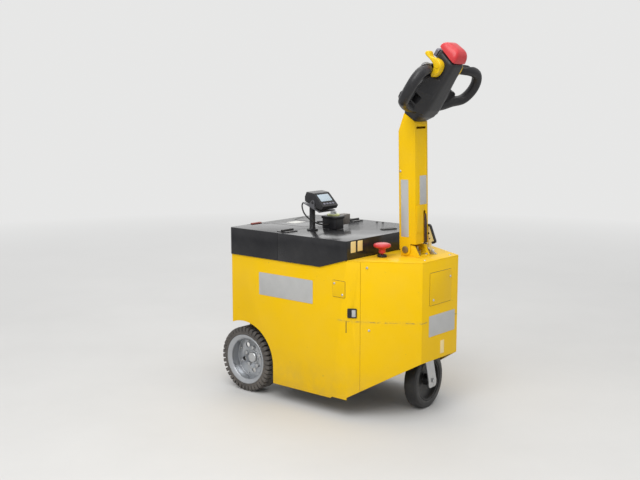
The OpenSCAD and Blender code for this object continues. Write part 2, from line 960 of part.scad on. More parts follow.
// Height of the head's seat plane over the pivot at depth y
function seat_plane(y) = head_seat_h - head_foot / cos(head_tilt)
    + (head_seat_y - y) * tan(head_tilt);

module column_side(inset) {
    front = inset - column_front;
    rear = column_rear - inset;
    polygon([[front, column_foot], [rear, column_foot], [rear, seat_plane(rear)],
        [front + column_notch, seat_plane(front + column_notch)],
        [front, head_seat_h - column_slant]]);
}

module tiller_column() {
    half = column_w / 2;
    column_frame() {
        difference() {
            side_profile(-half, column_w) column_side(0);
            side_profile(column_t - half, column_w - 2 * column_t) difference() {
                polygon([[column_t - column_front, column_foot - over],
                    [column_rear - column_t, column_foot - over],
                    [column_rear - column_t, seat_plane(column_rear) + column_rear],
                    [column_t - column_front, seat_plane(column_rear) + column_rear]]);
                polygon([[-column_front, head_seat_h - column_slant - 3 * column_t],
                    [column_notch - column_front,
                    seat_plane(column_notch - column_front) - 3 * column_t],
                    [column_notch - column_front, 2 * head_seat_h],
                    [-column_front, 2 * head_seat_h]]);
            }
            translate([-slot_x - slot_w / 2, 0, column_foot + slot_h - slot_w / 2])
                rod_y(slot_w / 2, column_rear / 2, column_rear + over);
            translate([-slot_x - slot_w, column_rear / 2, column_foot - over])
                cube([slot_w, column_rear, slot_h - slot_w / 2 + over]);
            translate([-cross_slot_w / 2, column_rear / 2, cross_slot_z])
                cube([cross_slot_w, column_rear, cross_slot_h]);
        }
        for (x = [-half, half - column_t]) difference() {
            side_profile(x, column_t) union() {
                circle(lug_r);
                translate([-column_front, 0]) square([column_front + lug_r, column_foot + over]);
            }
            rod_x(pivot_r + fit, x - over, x + column_t + over);
        }
    }
}

module column_cover() {
    column_frame() translate([cover_x, column_rear, cover_z + cover_h / 2])
        rotate([-90, 0, 0]) linear_extrude(cover_t) round_rect(cover_w, cover_h, cover_t);
}

module column_buffer() {
    column_frame() translate([column_w / 4, -column_front - buffer_h, buffer_z])
        rotate([-90, 0, 0]) rotate_extrude() polygon([[0, 0], [buffer_r * 0.8, 0],
            [buffer_r, buffer_h * 0.3], [buffer_r, buffer_h], [0, buffer_h]]);
}

// Lever beside the column. lever_frame puts the lever's pivot at the origin.
module lever_frame() {
    translate([-lever_x - lever_t, lever_y, deck_h + lever_z]) children();
}

module lever_stand() {
    lever_frame() {
        difference() {
            side_profile(-seat - stand_t, stand_t) union() {
                translate([-stand_l / 2, -lever_z]) square([stand_l, stand_h]);
                circle(lever_foot_r);
            }
            rod_x(lever_pin_r + fit, -2 * stand_t, stand_t);
        }
        translate([-stand_foot - seat, -stand_l / 2, -lever_z])
            cube([stand_foot, stand_l, stand_t]);
    }
}

// Outline of the lever, its pivot at the origin and its plate behind it
module brake_lever() {
    back = lever_foot_r - over;
    lever_frame() {
        side_profile(0, lever_t) rotate(lever_lean) union() {
            circle(lever_foot_r);
            polygon([[-lever_foot_r, 0], [lever_t, lever_w], [back, lever_l], [lever_w, lever_l],
                [lever_w, lever_foot_l], [lever_neck, lever_foot_l], [lever_foot_r, 0]]);
        }
        rod_x(lever_pin_r, -seat - stand_t, 0);
    }
}

module lever_grip() {
    low = lever_foot_l - grip_w;
    lever_frame() side_profile(0, grip_t) rotate(lever_lean) {
        translate([lever_w, low]) square([grip_w, lever_l - low]);
        translate([lever_neck + grip_t / 2, low]) square([lever_w - lever_neck, grip_w]);
    }
}

// Tiller head. x across, z along the head, y towards the operator.
// Body: place along the head, half width, half depth and middle, as shares of head_l, and slope
body_shares = [
    [-0.033, 0.152, 0.128, -0.100, 0], [0.010, 0.164, 0.142, -0.092, 0],
    [0.080, 0.198, 0.162, -0.070, 0], [0.200, 0.212, 0.168, -0.052, 0],
    [0.340, 0.200, 0.162, -0.044, 0], [0.500, 0.184, 0.158, -0.041, 0],
    [0.680, 0.170, 0.156, -0.041, 0], [0.840, 0.166, 0.156, -0.041, -0.04],
    [0.925, 0.162, 0.155, -0.042, -0.16], [0.955, 0.152, 0.145, -0.044, -0.195],
    [0.962, 0.128, 0.124, -0.046, -0.195]];
// Grip loop: x as a share of loop_reach, place along the head and depth as shares of head_l
loop_shares = [
    [0.10, 0.705, -0.165], [0.26, 0.712, -0.160], [0.40, 0.735, -0.146],
    [0.56, 0.770, -0.048], [0.73, 0.784, 0.006], [0.88, 0.758, 0.040], [0.97, 0.670, 0.058],
    [1.00, 0.556, 0.064], [0.98, 0.434, 0.054], [0.905, 0.326, 0.028], [0.745, 0.254, -0.026],
    [0.56, 0.186, -0.052], [0.32, 0.142, -0.072], [0.12, 0.124, -0.080]];
wing_x = body_shares[7][1] * head_l + wing_gap;
horn_v = head_l - horn_in;
horn_seat = (body_shares[8][3] - body_shares[8][2]) * head_l - horn_lift;
horn_face = horn_seat - horn_h;
body_sides = 32;
loop_sides = 16;
loop_steps = 3;
squareness = 4.6;

function ring_power(c) = sign(c) * pow(abs(c), 2 / squareness);
function body_ring(v, half_x, half_y, mid_y, slope) = [for (j = [0 : body_sides - 1])
    let (a = 360 * j / body_sides, y = half_y * ring_power(sin(a)))
    [half_x * ring_power(cos(a)), mid_y + y, v + slope * y]];

module loft(stations) {
    polyhedron([for (s = stations) each body_ring(s[0], s[1], s[2], s[3], s[4])],
        skin_faces(len(stations), body_sides));
}

module grip_loop() {
    places = [for (s = loop_shares) [s[0] * loop_reach, s[2] * head_l, s[1] * head_l]];
    path = curve(places, loop_steps);
    last = len(path) - 1;
    points = [for (i = [0 : last])
        let (along = unit(path[min(i + 1, last)] - path[max(i - 1, 0)]),
            side = unit(cross([0, 1, 0], along)),
            up = cross(along, side))
        for (j = [0 : loop_sides - 1])
            let (a = 360 * j / loop_sides)
            path[i] + side * loop_r * cos(a) + up * loop_half_t * sin(a)];
    polyhedron(points, skin_faces(last + 1, loop_sides));
}

module head_body() {
    difference() {
        union() {
            loft([for (s = body_shares)
                [s[0] * head_l, s[1] * head_l, s[2] * head_l, s[3] * head_l, s[4]]]);
            for (m = [0, 1]) mirror([m, 0, 0]) grip_loop();
        }
        translate([0, wing_axis_w, axis_v_share * head_l])
            rod_x(wing_shaft_r + seat, -loop_reach, loop_reach);
        translate([0, belly_w0, head_l - pocket_depth - belly_travel - head_foot])
            centred_box([pocket_w, pocket_d, head_l]);
        translate([0, horn_seat - horn_travel, horn_v - horn_stem_l / 2 - gap])
            translate([-horn_stem_w / 2 - gap, 0, 0])
                cube([horn_stem_w + 2 * gap, horn_stem + 2 * horn_travel + gap,
                    horn_stem_l + 2 * gap]);
        for (m = [0, 1]) mirror([m, 0, 0])
            translate([body_shares[2][1] * head_l - diamond_depth, diamond_w, diamond_v])
                rotate([45, 0, 0]) translate([0, -diamond_side / 2, -diamond_side / 2])
                    cube([head_l, diamond_side, diamond_side]);
    }
}

// Half of the head on one side of the parting plane
module head_half(side) {
    depth = 2 * head_l;
    intersection() {
        head_body();
        translate([-depth, side > 0 ? split_w + head_gap : split_w - head_gap - depth, -depth])
            cube([2 * depth, depth, 2 * depth]);
    }
}

// Side view of a throttle wing round its axis: depth and place along the head, as shares of
// wing_reach
wing_shares = [[-1.00, 0.12], [-0.96, 0.20], [-0.80, 0.18], [-0.55, 0.20], [-0.28, 0.22],
    [0.00, 0.23], [0.13, 0.19], [0.20, 0.08], [0.22, -0.08], [0.20, -0.28], [0.14, -0.50],
    [0.07, -0.66], [-0.02, -0.72], [-0.09, -0.68], [-0.10, -0.55], [-0.10, -0.32],
    [-0.14, -0.14], [-0.26, -0.06], [-0.50, -0.01], [-0.80, 0.02], [-0.97, 0.05]];
function closed_curve(p, steps) = [for (i = [0 : len(p) - 1], k = [0 : steps - 1])
    curve_point(p[(i + len(p) - 1) % len(p)], p[i], p[(i + 1) % len(p)],
        p[(i + 2) % len(p)], k / steps)];

module throttle() {
    head_frame() translate([0, wing_axis_w, axis_v_share * head_l]) {
        for (x = [-wing_x - wing_w, wing_x]) side_profile(x, wing_w)
            polygon(closed_curve([for (p = wing_shares) p * wing_reach], 2));
        rod_x(wing_shaft_r, -wing_x - over, wing_x + over);
    }
}

// Dome of the safety button: height, width, depth and backward shift, as shares
dome_shares = [[0.00, 0.95, 0.95, 0.00], [0.16, 1.00, 1.00, 0.00], [0.44, 0.99, 0.98, 0.01],
    [0.66, 0.94, 0.92, 0.03], [0.82, 0.83, 0.80, 0.05], [0.92, 0.65, 0.61, 0.06],
    [0.98, 0.40, 0.36, 0.07], [1.00, 0.14, 0.12, 0.07]];

module belly_button() {
    z0 = head_l * body_shares[len(body_shares) - 1][0] + belly_lift;
    head_frame() {
        loft([for (s = dome_shares)
            [z0 + s[0] * belly_h, s[1] * belly_w / 2, s[2] * belly_d / 2,
            belly_w0 - s[3] * belly_d, belly_slope]]);
        translate([0, belly_w0, z0 - pocket_depth])
            centred_box([pocket_w - 2 * gap, pocket_d - 2 * gap, pocket_depth + 2 * over]);
    }
}

module horn_button() {
    head_frame() {
        translate([0, horn_face, horn_v]) rotate([-90, 0, 0])
            linear_extrude(horn_seat - horn_travel - horn_face - gap)
                round_rect(horn_w, horn_l, horn_round);
        translate([-horn_stem_w / 2, horn_seat - horn_travel - gap - over,
            horn_v - horn_stem_l / 2])
            cube([horn_stem_w, horn_stem + over, horn_stem_l]);
    }
}

// Drive wheels, made for the +X side and mirrored for the other
module wheel_frame() {
    translate([0, axle_y, axle_z]) children();
}

// Solid of revolution about the wheel's axle: profile points are (radius, x)
module turned() {
    rotate([0, 90, 0]) rotate_extrude() children();
}

module tyre() {
    r = tyre_d / 2;
    bead = rim_d / 2;
    inner = wheel_out - tyre_w;
    wheel_frame() difference() {
        turned() polygon([
            [barrel_r + fit, inner + rim_lip_t], [bead + seat, inner + rim_lip_t],
            [bead + seat, inner], [r - tread_round, inner], [r, inner + tread_round / 2],
            [r, wheel_out - tread_round / 2], [r - tread_round, wheel_out],
            [bead + seat, wheel_out], [bead + seat, wheel_out - rim_lip_t],
            [barrel_r + fit, wheel_out - rim_lip_t]]);
        for (x = [inner - over, wheel_out - shoulder_w]) translate([x, 0, 0])
            rotate([0, 90, 0]) linear_extrude(shoulder_w + over) groove_ring(r);
    }
}

// Grooves between the tread blocks, seen along the axle
module groove_ring(r) {
    for (i = [0 : lug_count - 1]) rotate(i * 360 / lug_count)
        translate([r - lug_depth, -lug_gap / 2]) square([lug_depth + over, lug_gap]);
}

module rim() {
    lip = rim_d / 2;
    inner = wheel_out - tyre_w;
    wheel_frame() difference() {
        turned() polygon([
            [barrel_in_r, inner], [lip, inner], [lip, inner + rim_lip_t - fit],
            [barrel_r, inner + rim_lip_t - fit], [barrel_r, wheel_out - rim_lip_t + fit],
            [lip, wheel_out - rim_lip_t + fit], [lip, wheel_out],
            [lip - rim_lip_t, wheel_out], [barrel_in_r, wheel_out - 2 * rim_lip_t],
            [barrel_in_r, wheel_out - 4 * rim_lip_t], [barrel_in_r + rim_lip_t, wheel_out
            - 5 * rim_lip_t], [barrel_in_r + rim_lip_t, disc_x],
            [boss_r, disc_x], [boss_r, disc_x + disc_t / 2],
            [shaft_d / 2 + fit, disc_x + disc_t / 2], [shaft_d / 2 + fit, disc_x - disc_t],
            [barrel_in_r, disc_x - disc_t]]);
        for (i = [0 : nut_count - 1]) rotate([(i + 0.5) * 360 / nut_count, 0, 0])
            translate([0, 0, vent_circle_r]) rod_x(vent_r, disc_x - 2 * disc_t, disc_x + disc_t);
    }
}

module hexagon(r, h) {
    cylinder(h = h, r = r, $fn = 6);
}

module wheel_bolts() {
    wheel_frame() {
        for (i = [0 : nut_count - 1]) rotate([i * 360 / nut_count, 0, 0])
            translate([disc_x, 0, nut_circle_r]) rotate([0, 90, 0]) hexagon(nut_r, nut_h);
        for (i = [0 : clamp_count - 1]) rotate([(i + 0.5) * 360 / clamp_count, 0, 0])
            translate([disc_x, 0, clamp_circle_r]) rotate([0, 90, 0]) hexagon(clamp_r, clamp_h);
    }
}

module hub() {
    cap_r = hub_cap_d / 2;
    wheel_frame() {
        rod_x(shaft_d / 2, shaft_in, disc_x + disc_t / 2);
        translate([disc_x + disc_t / 2, 0, 0]) turned() polygon([
            [0, 0], [cap_r, 0], [cap_r, cap_r * 0.3], [cap_r * 0.85, cap_r * 0.45],
            [0, cap_r * 0.45]]);
    }
}

module axle_housing() {
    end_x = wheel_out - tyre_w - flange_t;
    wheel_frame() difference() {
        union() {
            rod_x(case_r, -case_half, case_half);
            rod_x(tube_r, -end_x, end_x);
            for (x = [-case_half - flange_t, case_half]) rod_x(flange_r, x, x + flange_t);
            cylinder(h = case_r + motor_foot / 4, r = motor_foot);
        }
        for (m = [0, 1]) mirror([m, 0, 0]) rod_x(shaft_d / 2 + fit, shaft_in - gap, end_x + over);
    }
}

module drive_motor() {
    wheel_frame() translate([0, 0, case_r + motor_foot / 4]) {
        difference() {
            cylinder(h = motor_h, r = motor_r);
            for (z = [motor_h * 0.2, motor_h * 0.75]) translate([0, 0, z]) difference() {
                cylinder(h = fin_t, r = motor_r + over);
                cylinder(h = fin_t, r = motor_r - fin_t / 2);
            }
        }
        for (x = [-motor_r / 2, motor_r / 2]) translate([x, 0, motor_h])
            cylinder(h = terminal_h, r = terminal_r);
    }
}

module batteries() {
    for (i = [0 : 1]) translate([0, tray_rear - tray_t - gap - battery_l / 2
        - i * (battery_l + battery_gap), rail_low + tray_t]) {
        centred_box([battery_w, battery_l, battery_h]);
        for (x = [-1, 1]) translate([x * (battery_w / 2 - pole_in), battery_l / 2 - pole_in,
            battery_h]) cylinder(h = pole_h, r = pole_r);
    }
}

// Motor controller on a shelf between the rails
module controller() {
    inner = rail_x - rail_t / 2 - seat;
    translate([0, -bridge_front - controller_l, rail_high + seat]) {
        translate([-inner - rail_t, -controller_l / 2, 0])
            cube([2 * (inner + rail_t), controller_l, shelf_t]);
        translate([0, 0, shelf_t]) centred_box([controller_w, controller_l * 0.8,
            controller_base + controller_h]);
        for (i = [0 : fin_count - 1]) translate([(i - (fin_count - 1) / 2) * fin_pitch,
            0, shelf_t + controller_base + controller_h])
            centred_box([fin_t, controller_l * 0.7, fin_pitch]);
    }
}

// Castor. The swivel axis stands at the origin of castor_frame.
module castor_frame() {
    translate([0, castor_y, 0]) children();
}

// Frame that swivels: its own +Y is the way the wheel trails
module fork_frame() {
    castor_frame() rotate([0, 0, castor_turn]) children();
}

// Places of the four bolts that hold the castor, at the top face of its plate
module plate_places() {
    for (x = [-1, 1], y = [-1, 1])
        translate([x * plate_w * 0.38, castor_y + y * plate_l * 0.35, castor_h]) children();
}

module castor_bolts() {
    plate_places() {
        translate([0, 0, -plate_t - plate_bolt_h]) {
            hexagon(plate_bolt_r, plate_bolt_h);
            cylinder(h = plate_bolt_h + plate_t + bridge_t + plate_bolt_h + over,
                r = plate_hole_r - seat);
        }
        translate([0, 0, bridge_t]) hexagon(plate_bolt_r, plate_bolt_h);
    }
}

module castor_plate() {
    difference() {
        castor_frame() translate([0, 0, castor_h - plate_t]) linear_extrude(plate_t)
            round_rect(plate_w, plate_l, plate_t);
        plate_places() translate([0, 0, -plate_t - over])
            cylinder(h = plate_t + 2 * over, r = plate_hole_r);
    }
    castor_frame() {
        translate([0, 0, castor_h - plate_t - race_h]) rotate_extrude() polygon([
            [0, 0], [race_r * 0.8, 0], [race_r, race_h * 0.4], [race_r, race_h],
            [0, race_h]]);
        translate([0, 0, castor_h - plate_t - race_h - king_l]) cylinder(h = king_l, r = king_r);
    }
}

crown_z = castor_h - plate_t - race_h - seat - crown_t;
leg_x = castor_w / 2 + leg_gap;

module castor_fork() {
    half = fork_leg_w / 2;
    low = castor_d / 2 - leg_foot_drop;
    top = crown_z + crown_t;
    fork_frame() difference() {
        union() {
            translate([0, 0, crown_z]) cylinder(h = crown_t, r = leg_x + fork_leg_t);
            for (x = [-leg_x - fork_leg_t, leg_x]) side_profile(x, fork_leg_t) union() {
                polygon([[castor_trail - leg_lean - half, top],
                    [castor_trail - leg_lean + half, top], [castor_trail + half, castor_d / 2],
                    [castor_trail + half, low + leg_foot_round],
                    [castor_trail + half - leg_foot_round, low],
                    [castor_trail - half + leg_foot_round, low],
                    [castor_trail - half, low + leg_foot_round],
                    [castor_trail - half, castor_d / 2]]);
                for (m = [-1, 1])
                    translate([castor_trail + m * (half - leg_foot_round), low + leg_foot_round])
                        circle(leg_foot_round);
            }
        }
        translate([0, 0, crown_z - over]) cylinder(h = crown_t + 2 * over, r = king_r + fit);
        translate([0, castor_trail, castor_d / 2])
            rod_x(castor_axle_r + fit, -2 * leg_x, 2 * leg_x);
    }
}

module castor_wheel_frame() {
    fork_frame() translate([0, castor_trail, castor_d / 2]) children();
}

module castor_hub() {
    half = castor_w / 2 - tyre_edge;
    boss = leg_x - gap;
    ring = castor_hub_r - castor_web / 2;
    castor_wheel_frame() turned() polygon([
        [castor_axle_r + fit, -boss], [castor_boss_r, -boss], [castor_boss_r, -castor_web / 2],
        [ring, -castor_web / 2], [ring, -half], [castor_hub_r, -half], [castor_hub_r, half],
        [ring, half], [ring, castor_web / 2], [castor_boss_r, castor_web / 2],
        [castor_boss_r, boss], [castor_axle_r + fit, boss]]);
}

module castor_tyre() {
    half = castor_w / 2;
    r = castor_d / 2;
    castor_wheel_frame() turned() polygon([
        [castor_hub_r + fit, tyre_edge - half], [castor_hub_r + tyre_edge, -half],
        [r - 2 * tyre_edge, -half], [r - tyre_edge / 2, tyre_edge - half],
        [r, tyre_edge * 2 - half], [r, half - tyre_edge * 2], [r - tyre_edge / 2, half
        - tyre_edge], [r - 2 * tyre_edge, half], [castor_hub_r + tyre_edge, half],
        [castor_hub_r + fit, half - tyre_edge]]);
}

module castor_axle() {
    end = leg_x + fork_leg_t;
    castor_wheel_frame() {
        rod_x(castor_axle_r, -end, end);
        for (x = [-end - castor_head_h, end]) translate([x, 0, 0]) rotate([0, 90, 0])
            hexagon(castor_head_r, castor_head_h);
    }
}

// Coupling
module coupling_places(rows) {
    for (x = [-1, 1], i = rows)
        translate([x * rail_holes_x / 2, 0, rail_hole_low + i * rail_pitch]) children();
}

module coupling_holes(y0, l, rows) {
    coupling_places(rows) rod_y(rail_hole_r, y0, y0 + l);
}

module hitch_rail() {
    difference() {
        translate([-rail_plate_w / 2, -body_l - rail_plate_t, rail_plate_low])
            cube([rail_plate_w, rail_plate_t, rail_plate_high - rail_plate_low]);
        coupling_holes(-body_l - rail_plate_t - over, rail_plate_t + 2 * over, rail_row_shares);
    }
}

module hitch_bracket() {
    face = -body_l - rail_plate_t;
    pin_y = -body_l - jaw_reach;
    difference() {
        union() {
            translate([-foot_w / 2, face - foot_t, jaw_z - foot_h / 2])
                cube([foot_w, foot_t, foot_h]);
            for (z = [jaw_z - jaw_gap / 2 - jaw_t, jaw_z + jaw_gap / 2])
                translate([0, 0, z]) linear_extrude(jaw_t) union() {
                    translate([0, pin_y]) circle(jaw_w / 2);
                    translate([-jaw_w / 2, pin_y]) square([jaw_w, face - foot_t - pin_y]);
                }
            for (x = [-jaw_w / 2, jaw_w / 2 - cheek_t])
                translate([x, face - foot_t - cheek_t, jaw_z - jaw_gap / 2])
                    cube([cheek_t, cheek_t, jaw_gap]);
        }
        translate([0, pin_y, jaw_z - foot_h]) cylinder(h = 2 * foot_h, r = coupling_r + fit);
        coupling_holes(face - foot_t - over, foot_t + 2 * over, foot_row_shares);
    }
}

module hitch_pin() {
    low = jaw_z - jaw_gap / 2 - jaw_t - pin_below;
    high = jaw_z + jaw_gap / 2 + jaw_t + pin_above;
    translate([0, -body_l - jaw_reach, 0]) {
        translate([0, 0, low + coupling_r]) cylinder(h = high - low, r = coupling_r);
        translate([0, 0, low]) cylinder(h = coupling_r, r1 = coupling_r * 0.6, r2 = coupling_r);
        translate([0, 0, jaw_z + jaw_gap / 2 + jaw_t + seat])
            cylinder(h = pin_collar_h, r = pin_collar_r);
        translate([0, 0, high + pin_bar_rise]) rod_x(pin_bar_r, -pin_bar_l / 2, pin_bar_l / 2);
    }
}

module hitch_bolts() {
    face = -body_l - rail_plate_t - foot_t;
    coupling_places(foot_row_shares) {
        rod_y(rail_hole_r - seat, face, sheet_t + seat + cross_t - body_l);
        translate([0, face - bolt_head_h, 0]) rotate([-90, 0, 0])
            hexagon(bolt_head_r, bolt_head_h);
    }
}

yellow = [0.95, 0.76, 0.05];
black = [0.1, 0.1, 0.11];
zinc = [0.75, 0.76, 0.78];
steel = [0.3, 0.31, 0.33];
red = [0.78, 0.12, 0.12];

module left_and(m) {
    row() mirror([m, 0, 0]) children();
}

color(steel) left_and(0) rail();  // rail_left
color(steel) left_and(1) rail();  // rail_right
color(steel) row() front_crossmember();
color(steel) row() castor_bridge();
color(steel) row() battery_tray();
color(yellow) left_and(0) side_panel();  // side_panel_left
color(yellow) left_and(1) side_panel();  // side_panel_right
color(yellow) row() front_panel();
color(yellow) row() nose_cover();
color(yellow) row() deck_plate();
color(yellow) row() side_hatch();
color(yellow) row() rear_hatch();
color(black) row() panel_latch();
color(black) row() lid_rear();
color(black) row() lid_front();
color(steel) row() hinge_fixed();
color(steel) row() hinge_moving();
color(black) row() display_post();
color(zinc) row() display_bracket();
color(black) row() display_unit();
color(black) row() key_pod();
color(steel) row() key_switch();
color(black) row() estop_base();
color(red) row() estop_button();
color(yellow) row() tiller_bracket();
color(zinc) row() tiller_pin();
color(zinc) row() stop_rod();
color(yellow) row() tiller_column();
color(yellow) row() column_cover();
color(black) row() column_buffer();
color(zinc) row() lever_stand();
color(yellow) row() brake_lever();
color(black) row() lever_grip();
color(black) row() head_frame() head_half(-1);  // head_upper
color(black) row() head_frame() head_half(1);  // head_lower
color(yellow) row() throttle();
color(red) row() belly_button();
color("dimgray") row() horn_button();
color(black) left_and(0) tyre();  // tyre_left
color(zinc) left_and(0) rim();  // rim_left
color(steel) left_and(0) wheel_bolts();  // wheel_bolts_left
color(zinc) left_and(0) hub();  // hub_left
color(black) left_and(1) tyre();  // tyre_right
color(zinc) left_and(1) rim();  // rim_right
color(steel) left_and(1) wheel_bolts();  // wheel_bolts_right
color(zinc) left_and(1) hub();  // hub_right
color(steel) row() axle_housing();
color(black) row() drive_motor();
color("dimgray") row() batteries();
color(zinc) row() controller();
color(zinc) row() castor_plate();
color(zinc) row() castor_bolts();
color(zinc) row() castor_fork();
color(black) row() castor_hub();
color(black) row() castor_tyre();
color(zinc) row() castor_axle();
color(yellow) row() hitch_rail();
color(steel) row() hitch_bracket();
color(zinc) row() hitch_pin();
color(zinc) row() hitch_bolts();
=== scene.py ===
import bpy
import bmesh
import json
from math import radians, sin, cos, pi
from mathutils import Matrix, Vector


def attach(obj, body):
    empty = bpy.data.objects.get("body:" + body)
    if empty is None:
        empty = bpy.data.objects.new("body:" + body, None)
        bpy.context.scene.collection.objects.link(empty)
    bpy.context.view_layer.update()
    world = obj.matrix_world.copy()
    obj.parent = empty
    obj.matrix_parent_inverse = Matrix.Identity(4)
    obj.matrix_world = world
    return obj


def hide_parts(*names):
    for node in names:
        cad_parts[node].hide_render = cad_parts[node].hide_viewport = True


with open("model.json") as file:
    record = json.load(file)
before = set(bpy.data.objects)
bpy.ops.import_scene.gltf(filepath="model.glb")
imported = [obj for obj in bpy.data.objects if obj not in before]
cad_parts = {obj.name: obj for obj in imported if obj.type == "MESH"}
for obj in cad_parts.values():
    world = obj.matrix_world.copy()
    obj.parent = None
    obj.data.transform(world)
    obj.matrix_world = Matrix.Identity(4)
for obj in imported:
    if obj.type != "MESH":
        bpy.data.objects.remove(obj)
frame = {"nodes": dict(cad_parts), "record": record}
for name in ("Cube", "Light", "Camera"):
    if name in bpy.data.objects:
        bpy.data.objects.remove(bpy.data.objects[name])
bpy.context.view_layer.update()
scene = bpy.context.scene
print("frame loaded:", len(frame["nodes"]), "nodes")

# Sizes and spots are in millimetres, y from the rear edge of the lid
lidEdgeY = 0.1976
lidTop = 613
toLeft, toRear, toTop = Vector((1, 0, 0)), Vector((0, 1, 0)), Vector((0, 0, 1))


def place(x, y, z):
    return Vector((x / 1000, y / 1000 + lidEdgeY, z / 1000))


# Camera
camera = {"azimuth": 130.37, "elevation": 8.671, "lens": 55.62, "sensor": 36,
          "spot": (2767.63, 2034.26, 1113.04)}


def addCamera(s):
    a, e = radians(s["azimuth"]), radians(s["elevation"])
    back = Vector((sin(a) * cos(e), -cos(a) * cos(e), sin(e)))
    data = bpy.data.cameras.new("camera")
    data.sensor_width = s["sensor"]
    data.lens = s["lens"]
    cam = bpy.data.objects.new("camera", data)
    cam.location = place(*s["spot"])
    cam.rotation_euler = (-back).to_track_quat("-Z", "Y").to_euler()
    scene.collection.objects.link(cam)
    scene.camera = cam


addCamera(camera)
print("camera set")

# Materials

# Noise limits and shares of the wear that every finish has
wear = {
    "speckAt": (0.66, 0.72), "scratchAt": (0.69, 0.73), "scratchedPart": (0.45, 0.7),
    "dustAt": (0.35, 0.75), "dustOnTop": 0.7, "dustOnSides": 0.3, "facingUp": (0.5, 0.95),
    "grimeAt": (0.3, 0.75), "grimeFull": 0.03, "grainHigh": 0.0004, "waveHigh": 0.004,
}


class Nodes:
    # Short way to build a shader tree

    def __init__(self, name):
        self.mat = bpy.data.materials.new(name)
        self.mat.use_nodes = True
        self.tree = self.mat.node_tree
        self.bsdf = self.tree.nodes["Principled BSDF"]
        self.coord = self.add("ShaderNodeTexCoord").outputs["Object"]

    def add(self, kind, **props):
        n = self.tree.nodes.new(kind)
        for k, v in props.items():
            setattr(n, k, v)
        return n

    def link(self, a, b):
        self.tree.links.new(a, b)

    def feed(self, socket, value):
        if isinstance(value, bpy.types.NodeSocket):
            self.link(value, socket)
        else:
            socket.default_value = value

    def noise(self, scale, detail=4, rough=0.55, **mapping):
        # mapping may hold Scale, Rotation and Location
        n = self.add("ShaderNodeTexNoise")
        n.inputs["Scale"].default_value = scale
        n.inputs["Detail"].default_value = detail
        n.inputs["Roughness"].default_value = rough
        source = self.coord
        if mapping:
            m = self.add("ShaderNodeMapping")
            self.link(source, m.inputs["Vector"])
            for socket, value in mapping.items():
                m.inputs[socket].default_value = value
            source = m.outputs["Vector"]
        self.link(source, n.inputs["Vector"])
        return n.outputs["Fac"]

    def ranged(self, value, end, low, high):
        r = self.add("ShaderNodeMapRange")
        r.inputs[end + " Min"].default_value = low
        r.inputs[end + " Max"].default_value = high
        self.link(value, r.inputs["Value"])
        return r.outputs["Result"]

    def ramp(self, value, low, high):
        return self.ranged(value, "From", low, high)

    def spread(self, value, low, high):
        return self.ranged(value, "To", low, high)

    def math(self, kind, a, b=0.0):
        m = self.add("ShaderNodeMath", operation=kind)
        self.feed(m.inputs[0], a)
        self.feed(m.inputs[1], b)
        return m.outputs[0]

    def times(self, a, b):
        return self.math("MULTIPLY", a, b)

    def mix(self, amount, a, b):
        m = self.add("ShaderNodeMix", data_type="RGBA")
        self.feed(m.inputs[0], amount)
        for socket, value in ((6, a), (7, b)):
            self.feed(m.inputs[socket],
                      value if isinstance(value, bpy.types.NodeSocket) else (*value, 1))
        return m.outputs[2]

    def bump(self, height, strength, distance, before=None):
        b = self.add("ShaderNodeBump")
        b.inputs["Strength"].default_value = strength
        b.inputs["Distance"].default_value = distance
        self.link(height, b.inputs["Height"])
        if before:
            self.link(before, b.inputs["Normal"])
        return b.outputs["Normal"]

    def part(self, vector, name):
        s = self.add("ShaderNodeSeparateXYZ")
        self.link(vector, s.inputs[0])
        return s.outputs[name]

    def upward(self):
        normal = self.add("ShaderNodeNewGeometry").outputs["Normal"]
        return self.ramp(self.part(normal, "Z"), *wear["facingUp"])


# What a finish has unless it says otherwise
plain = dict(
    driftScale=6, speck=0, speckScale=90, speckColour=(0.3, 0.25, 0.15), scratch=0,
    scratchWay=(2, 2, 70), scratchTurn=(0.25, 0.1, 0), scratchColour=(0.35, 0.27, 0.1),
    dust=0, dustColour=(0.5, 0.47, 0.42), low=0, lowTop=0.3, lowColour=(0.22, 0.19, 0.14),
    extra=None, glossScale=14, roughDrift=0.08, metal=0, coat=0, coatRough=0.15, specular=0.5,
    grain=400, grainDepth=0.15, wave=0, waveDepth=0.12,
)


